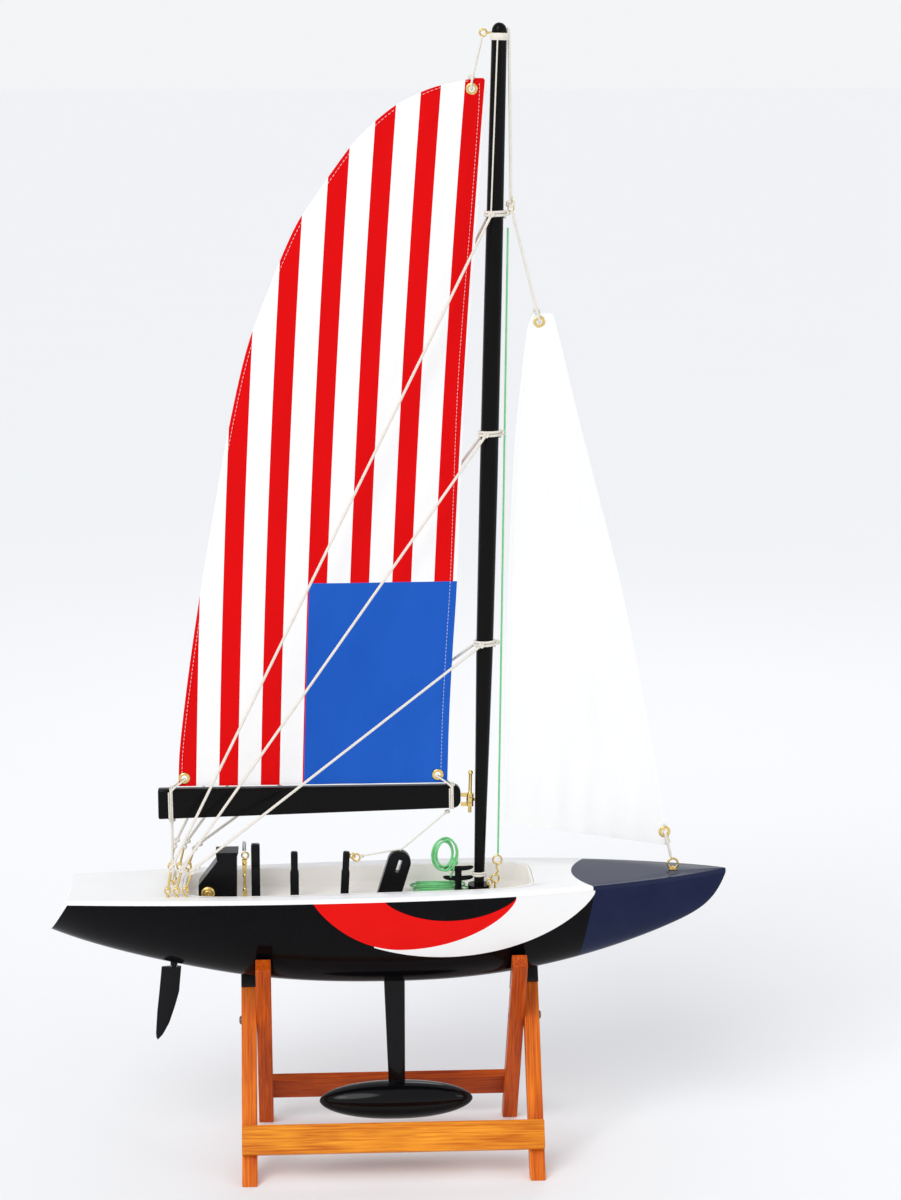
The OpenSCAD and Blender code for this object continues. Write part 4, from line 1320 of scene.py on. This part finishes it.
def make_deck_eyes():
    shape = Shape()
    for x in EYE_X:
        for side in (-1, 1):
            foot = Vector((x, side * EYE_Y, sheer(x) + DECK_T + 0.85 * CAMBER))
            screw_eye(shape, foot, 0.002, 0.0038, 0.0012)
    foot = Vector((SHEET_X, 0, sheer(SHEET_X) + DECK_T + CAMBER))
    screw_eye(shape, foot, 0.002, 0.0042, 0.0013)
    piece(shape, "deck_screw_eyes", [BRASS], ["deck_eyes"], sharp=50)


def make_hooks():
    shape = Shape()
    for i, x in enumerate(EYE_X):
        for side in (-1, 1):
            top, end = stay_ends(i, side)
            high = end + (top - end).normalized() * HOOK_REACH
            hook(shape, Vector((x, -side * EYE_Y, EYE_RING_Z)), high)
    piece(shape, "stay_wire_hooks", [BRASS], ["stay_hooks"], sharp=60)


def make_bow_eye():
    shape = Shape()
    base = Vector((BOW_EYE.x, 0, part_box("bow_eye")[0].z))
    foot = [(0, 0), (0.0026, 0), (0.0027, 0.0004), (0.0022, 0.0009), (0.0012, 0.0013), (0.001, 0.0022)]
    lathe(shape, foot, base, sides=24)
    ring(shape, base + mm(0, 0, 4.2), 0.0035, 0.0015, n=40)
    piece(shape, "bow_screw_eye", [BRASS], ["bow_eye"], sharp=50)


def make_mast_foot_brass():
    """Two screw eyes by the mast's foot, and a bent link up to the ring that holds the green line."""
    shape = Shape()
    foot = Vector((0.0725, 0, FLOOR_Z))
    screw_eye(shape, foot, 0.010, 0.0054, 0.0014)
    screw_eye(shape, foot + mm(-4.2, -5, 0), 0.010, 0.0040, 0.0012)
    ring(shape, foot + mm(1.5, 0, 26), 0.003, 0.0013)
    link = [foot + mm(0.3, 0, 15.6), foot + mm(1.9, -0.8, 18), foot + mm(0.9, 0, 20.5), foot + mm(1.5, 0, 23)]
    wire(shape, link, 0.0013)
    piece(shape, "mast_foot_brass", [BRASS], ["mast_foot_eye"], sharp=50)


def make_console_wheel():
    shape = Shape()
    profile = [(0, -0.001), (0.0048, -0.001), (0.0048, 0.0012), (0.0044, 0.0019), (0.0036, 0.0022),
               (0.0028, 0.0018), (0.0025, 0.0022), (0.0025, 0.003), (0.0021, 0.0033), (0.0008, 0.0033),
               (0.0006, 0.0027), (0, 0.0027)]
    lathe(shape, profile, mm(-124.5, -8, 191), Vector((0, -1, 0)))
    piece(shape, "console_wheel", [BRASS], ["console_disc"], sharp=40)


def square_bar(shape, foot, along, widths):
    """A square bar with rounded arrises. widths are (distance, width) along it."""
    side = Vector((0, 1, 0))
    front = side.cross(along).normalized()
    loops = []
    for distance, width in widths:
        r = min(0.0007, width * 0.3)
        flat = width / 2 - r
        loop = []
        for k in range(16):
            a = TURN * (k + 0.5) / 16
            u = math.copysign(flat, math.cos(a)) + r * math.cos(a)
            v = math.copysign(flat, math.sin(a)) + r * math.sin(a)
            loop.append(foot + along * distance + front * u + side * v)
        loops.append(loop)
    shape.skin(loops)


def make_posts():
    """Three posts with narrower, round-shouldered upper parts. The fore one carries a double brass ring."""
    for name, node, x, wide, narrow, tilt in (
            ("post_aft_turned", "cockpit_post_aft", -0.092, 0.006, 0.006, 0),
            ("post_middle_turned", "cockpit_post_middle", -0.0655, 0.006, 0.0048, 0),
            ("post_fore_turned", "cockpit_post_fore", -0.0315, 0.0056, 0.0046, math.radians(3))):
        shape = Shape()
        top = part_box(node)[1].z - FLOOR_Z
        step = top * 0.6
        along = Vector((math.sin(tilt), 0, math.cos(tilt)))
        square_bar(shape, Vector((x, 0, FLOOR_Z)), along, [
            (0, wide), (step - 0.0012, wide), (step - 0.0003, wide * 0.94), (step + 0.0006, narrow),
            (top - 0.0012, narrow), (top - 0.0005, narrow * 0.9), (top - 0.0001, narrow * 0.66)])
        if tilt:
            ring(shape, POST_RINGS, 0.0025, 0.0013, mark=1)
            ring(shape, POST_RINGS + mm(-2.6, -0.6, 1.4), 0.0018, 0.0011, mark=1)
            wire(shape, [POST_RINGS + mm(-6.4, 0, 0.6), POST_RINGS + mm(-4, 0, 0.6)], 0.0014)
        piece(shape, name, [FITTING, BRASS], [node], sharp=40)


def make_tangs():
    """Two brass straps with three rivets and a ring, and a grey pin on top."""
    low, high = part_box("brass_tangs")
    x = (low.x + high.x) / 2
    shape = Shape()
    height = 0.029
    thick = 0.0006
    for y in (-0.0013, 0.0009):
        loops = []
        for k in range(15):
            z = FLOOR_Z + height * k / 14
            half = 0.0013 + 0.0004 * math.cos(TURN * k / 14)
            near = [Vector((x - half, y, z)), Vector((x + half, y, z))]
            loops.append(near + [p + Vector((0, thick, 0)) for p in near[::-1]])
        shape.skin(loops)
    rivet = [(0, 0), (0.0012, 0), (0.0013, 0.0004), (0.0009, 0.0008), (0, 0.0009)]
    for up in (0.008, 0.018, 0.0265):
        lathe(shape, rivet, Vector((x, -0.0013, FLOOR_Z + up)), Vector((0, -1, 0)), 16)
    ring(shape, Vector((x + 0.0006, -0.0002, FLOOR_Z + 0.032)), 0.0022, 0.0012)
    pin = [(0, 0), (0.0013, 0), (0.0013, 0.0052), (0.0009, 0.0064), (0, 0.0068)]
    lathe(shape, pin, Vector((x, 0, high.z - 0.0069)), sides=20, mark=1)
    piece(shape, "brass_tang_straps", [BRASS, STEEL], ["brass_tangs"], sharp=40)


def cleat_bar_r(u):
    """A cleat bar's radius: a fine waist in the middle, and rounded ends."""
    out = abs(2 * u - 1)
    return 0.00185 * math.sqrt(max(0.02, 1 - out ** 7)) * (1 - 0.2 * out)


def make_cleat():
    shape = Shape()
    height = CLEAT_BARS[-1] - FLOOR_Z
    profile = [(0, 0), (0.0045, 0), (0.0045, 0.0018), (0.0038, 0.0028), (0.0026, 0.0038), (0.0024, 0.0055),
               (0.0024, height)]
    lathe(shape, profile, Vector((CLEAT_X, 0, FLOOR_Z)), sides=32)
    for z in CLEAT_BARS:
        path = []
        for k in range(25):
            u = 2 * k / 24 - 1
            path.append(Vector((CLEAT_X + 0.0106 * u, 0, z + 0.0012 * abs(u) ** 2.5)))
        tube(shape, path, cleat_bar_r, 16)
    piece(shape, "horn_cleat_moulding", [FITTING], ["horn_cleat"], sharp=50)


# ---- Stand ----

LEG_W = 0.0104
LEG_OUT = 0.098
LEG_IN = 0.0875
CROSS_Z = LEG_TOP_Z * FOOT_HALF / (FOOT_HALF + TOP_HALF)
PADS = [(-LEG_OUT, 1, 0.0026), (-LEG_IN, -1, 0.0019), (LEG_IN, -1, 0.0037), (LEG_OUT, 1, 0.0048)]


def make_pads():
    """Soft pads with crowned faces, glued along the legs' inner faces."""
    for i, (x, side, thick) in enumerate(PADS):
        shape = Shape()
        tilt = Matrix.Rotation(-side * LEG_TILT, 4, "X")
        origin = Matrix.Translation((x, 0, CROSS_Z)) @ tilt
        base = -LEG_W / 2 if side > 0 else LEG_W / 2
        loops = []
        across = 10
        for level, inward in ((0.0, 0.0), (0.55, 0.0), (0.82, 0.00025), (0.95, 0.0007), (1.0, 0.0016)):
            loop = []
            for k in range(4 * across):
                edge, step = divmod(k, across)
                t = step / across
                u, v = [(t, 0), (1, t), (1 - t, 1), (0, 1 - t)][edge]
                px = (u - 0.5) * (LEG_W - 2 * inward)
                pz = 0.022 + inward + v * (0.032 - 2 * inward)
                out = base - side * thick * level
                loop.append(origin @ Vector((px, out, pz)))
            loops.append(loop)
        shape.skin(loops)
        name = f"stand_pad_{i + 1}"
        obj = piece(shape, name, [PAD], ["stand_pads"], body="stand", sharp=60)


def make_screws():
    shape = Shape()
    profile = [(0, -0.004), (0.0015, -0.004), (0.0015, 0), (0.003, 0), (0.003, 0.0005), (0.0026, 0.0011),
               (0.0017, 0.0015), (0, 0.0016)]
    for end in (-1, 1):
        at = Vector((end * (LEG_OUT + LEG_W / 2), 0, CROSS_Z))
        lathe(shape, profile, at, Vector((end, 0, 0)), 32)
    piece(shape, "stand_screw_heads", [SCREW], ["stand_cross_screws"], body="stand", sharp=40)


# ---- Carried-over CAD nodes ----

def dress(name, material, bevel=0.0):
    """Gives a CAD node its material, and softens its edges."""
    obj = nodes[name]
    obj.data.materials.clear()
    obj.data.materials.append(material)
    weld = obj.modifiers.new("weld", "WELD")
    weld.merge_threshold = 0.000005
    if bevel:
        soft = obj.modifiers.new("soft_edges", "BEVEL")
        soft.width = bevel
        soft.segments = 3
        soft.limit_method = "ANGLE"
        soft.angle_limit = math.radians(40)
        soft.harden_normals = False


def dress_cad():
    # The outer legs and front rail get the lit copies of the wood, which are painted light. The inner legs
    # and rear rail get the shaded copies, which are painted shade.
    for name in ("stand_leg_aft_outer", "stand_leg_fore_outer"):
        dress(name, LIT_OUTER_WOOD, 0.0007)
    for name in ("stand_leg_aft_inner", "stand_leg_fore_inner"):
        dress(name, SHADED_INNER_WOOD, 0.0007)
    dress("stand_rail_front", LIT_FRONT_WOOD, 0.0007)
    dress("stand_rail_rear", SHADED_REAR_WOOD, 0.0007)
    for name in ("console", "slotted_fairlead"):
        dress(name, FITTING, 0.0007)
    dress("mast_step", SPAR, 0.0007)
    for name in ("gooseneck_mast_eye", "gooseneck_boom_eye", "masthead_eye"):
        dress(name, BRASS)
    dress("servo_tray", TRAY, 0.0003)
    for name in ("rudder_servo", "sail_servo", "receiver"):
        dress(name, CASE, 0.0004)
    dress("battery_pack", WRAP, 0.0004)
    for name in ("rudder_stock", "rudder_tube"):
        dress(name, KEEL)
    dress("pushrod", STEEL)
    for name in ("tiller_arm", "rudder_servo_arm", "sail_servo_arm"):
        dress(name, NYLON, 0.0002)


def make_floor():
    g = Graph("floor", roughness=0.75)
    mottle = g.noise(3, 2)
    g.color(g.mix(mottle, rgb(0.915, 0.922, 0.932), rgb(0.925, 0.932, 0.942)))
    g.bump(g.noise(40, 2), 0.0001)
    shape = Shape()
    half = 30
    shape.points = [Vector((x * half, y * half, 0)) for x, y in ((-1, -1), (1, -1), (1, 1), (-1, 1))]
    shape.add((0, 1, 2, 3))
    floor = make_object(shape, "floor", [g.material])


make_camera()
make_green_cord()
make_world()
sun_light("key", towards=(0.38, 0.61, -0.69), strength=1.15, softness=35)
for name, at, target, size, energy in (
        ("softbox_left", (-1.1, -1.3, 1.5), (0, 0, 0.3), 0.45, 2.2),
        ("softbox_right", (1.3, -0.9, 0.9), (0, 0, 0.25), 0.4, 1.2),
        ("softbox_rear", (0.3, 1.5, 1.3), (0, 0, 0.3), 0.5, 2.0)):
    area_light(name, at, target, size, energy)
make_floor()
make_hull()
make_deck()
make_well()
make_keel()
make_rudder()
make_mast()
make_boom()
make_sails()
make_mast_cords()
make_stays()
make_halyards()
make_lashings()
make_kicker()
make_mainsheet()
make_deck_eyes()
make_hooks()
make_bow_eye()
make_mast_foot_brass()
make_console_wheel()
make_posts()
make_tangs()
make_cleat()
make_pads()
make_screws()
dress_cad()
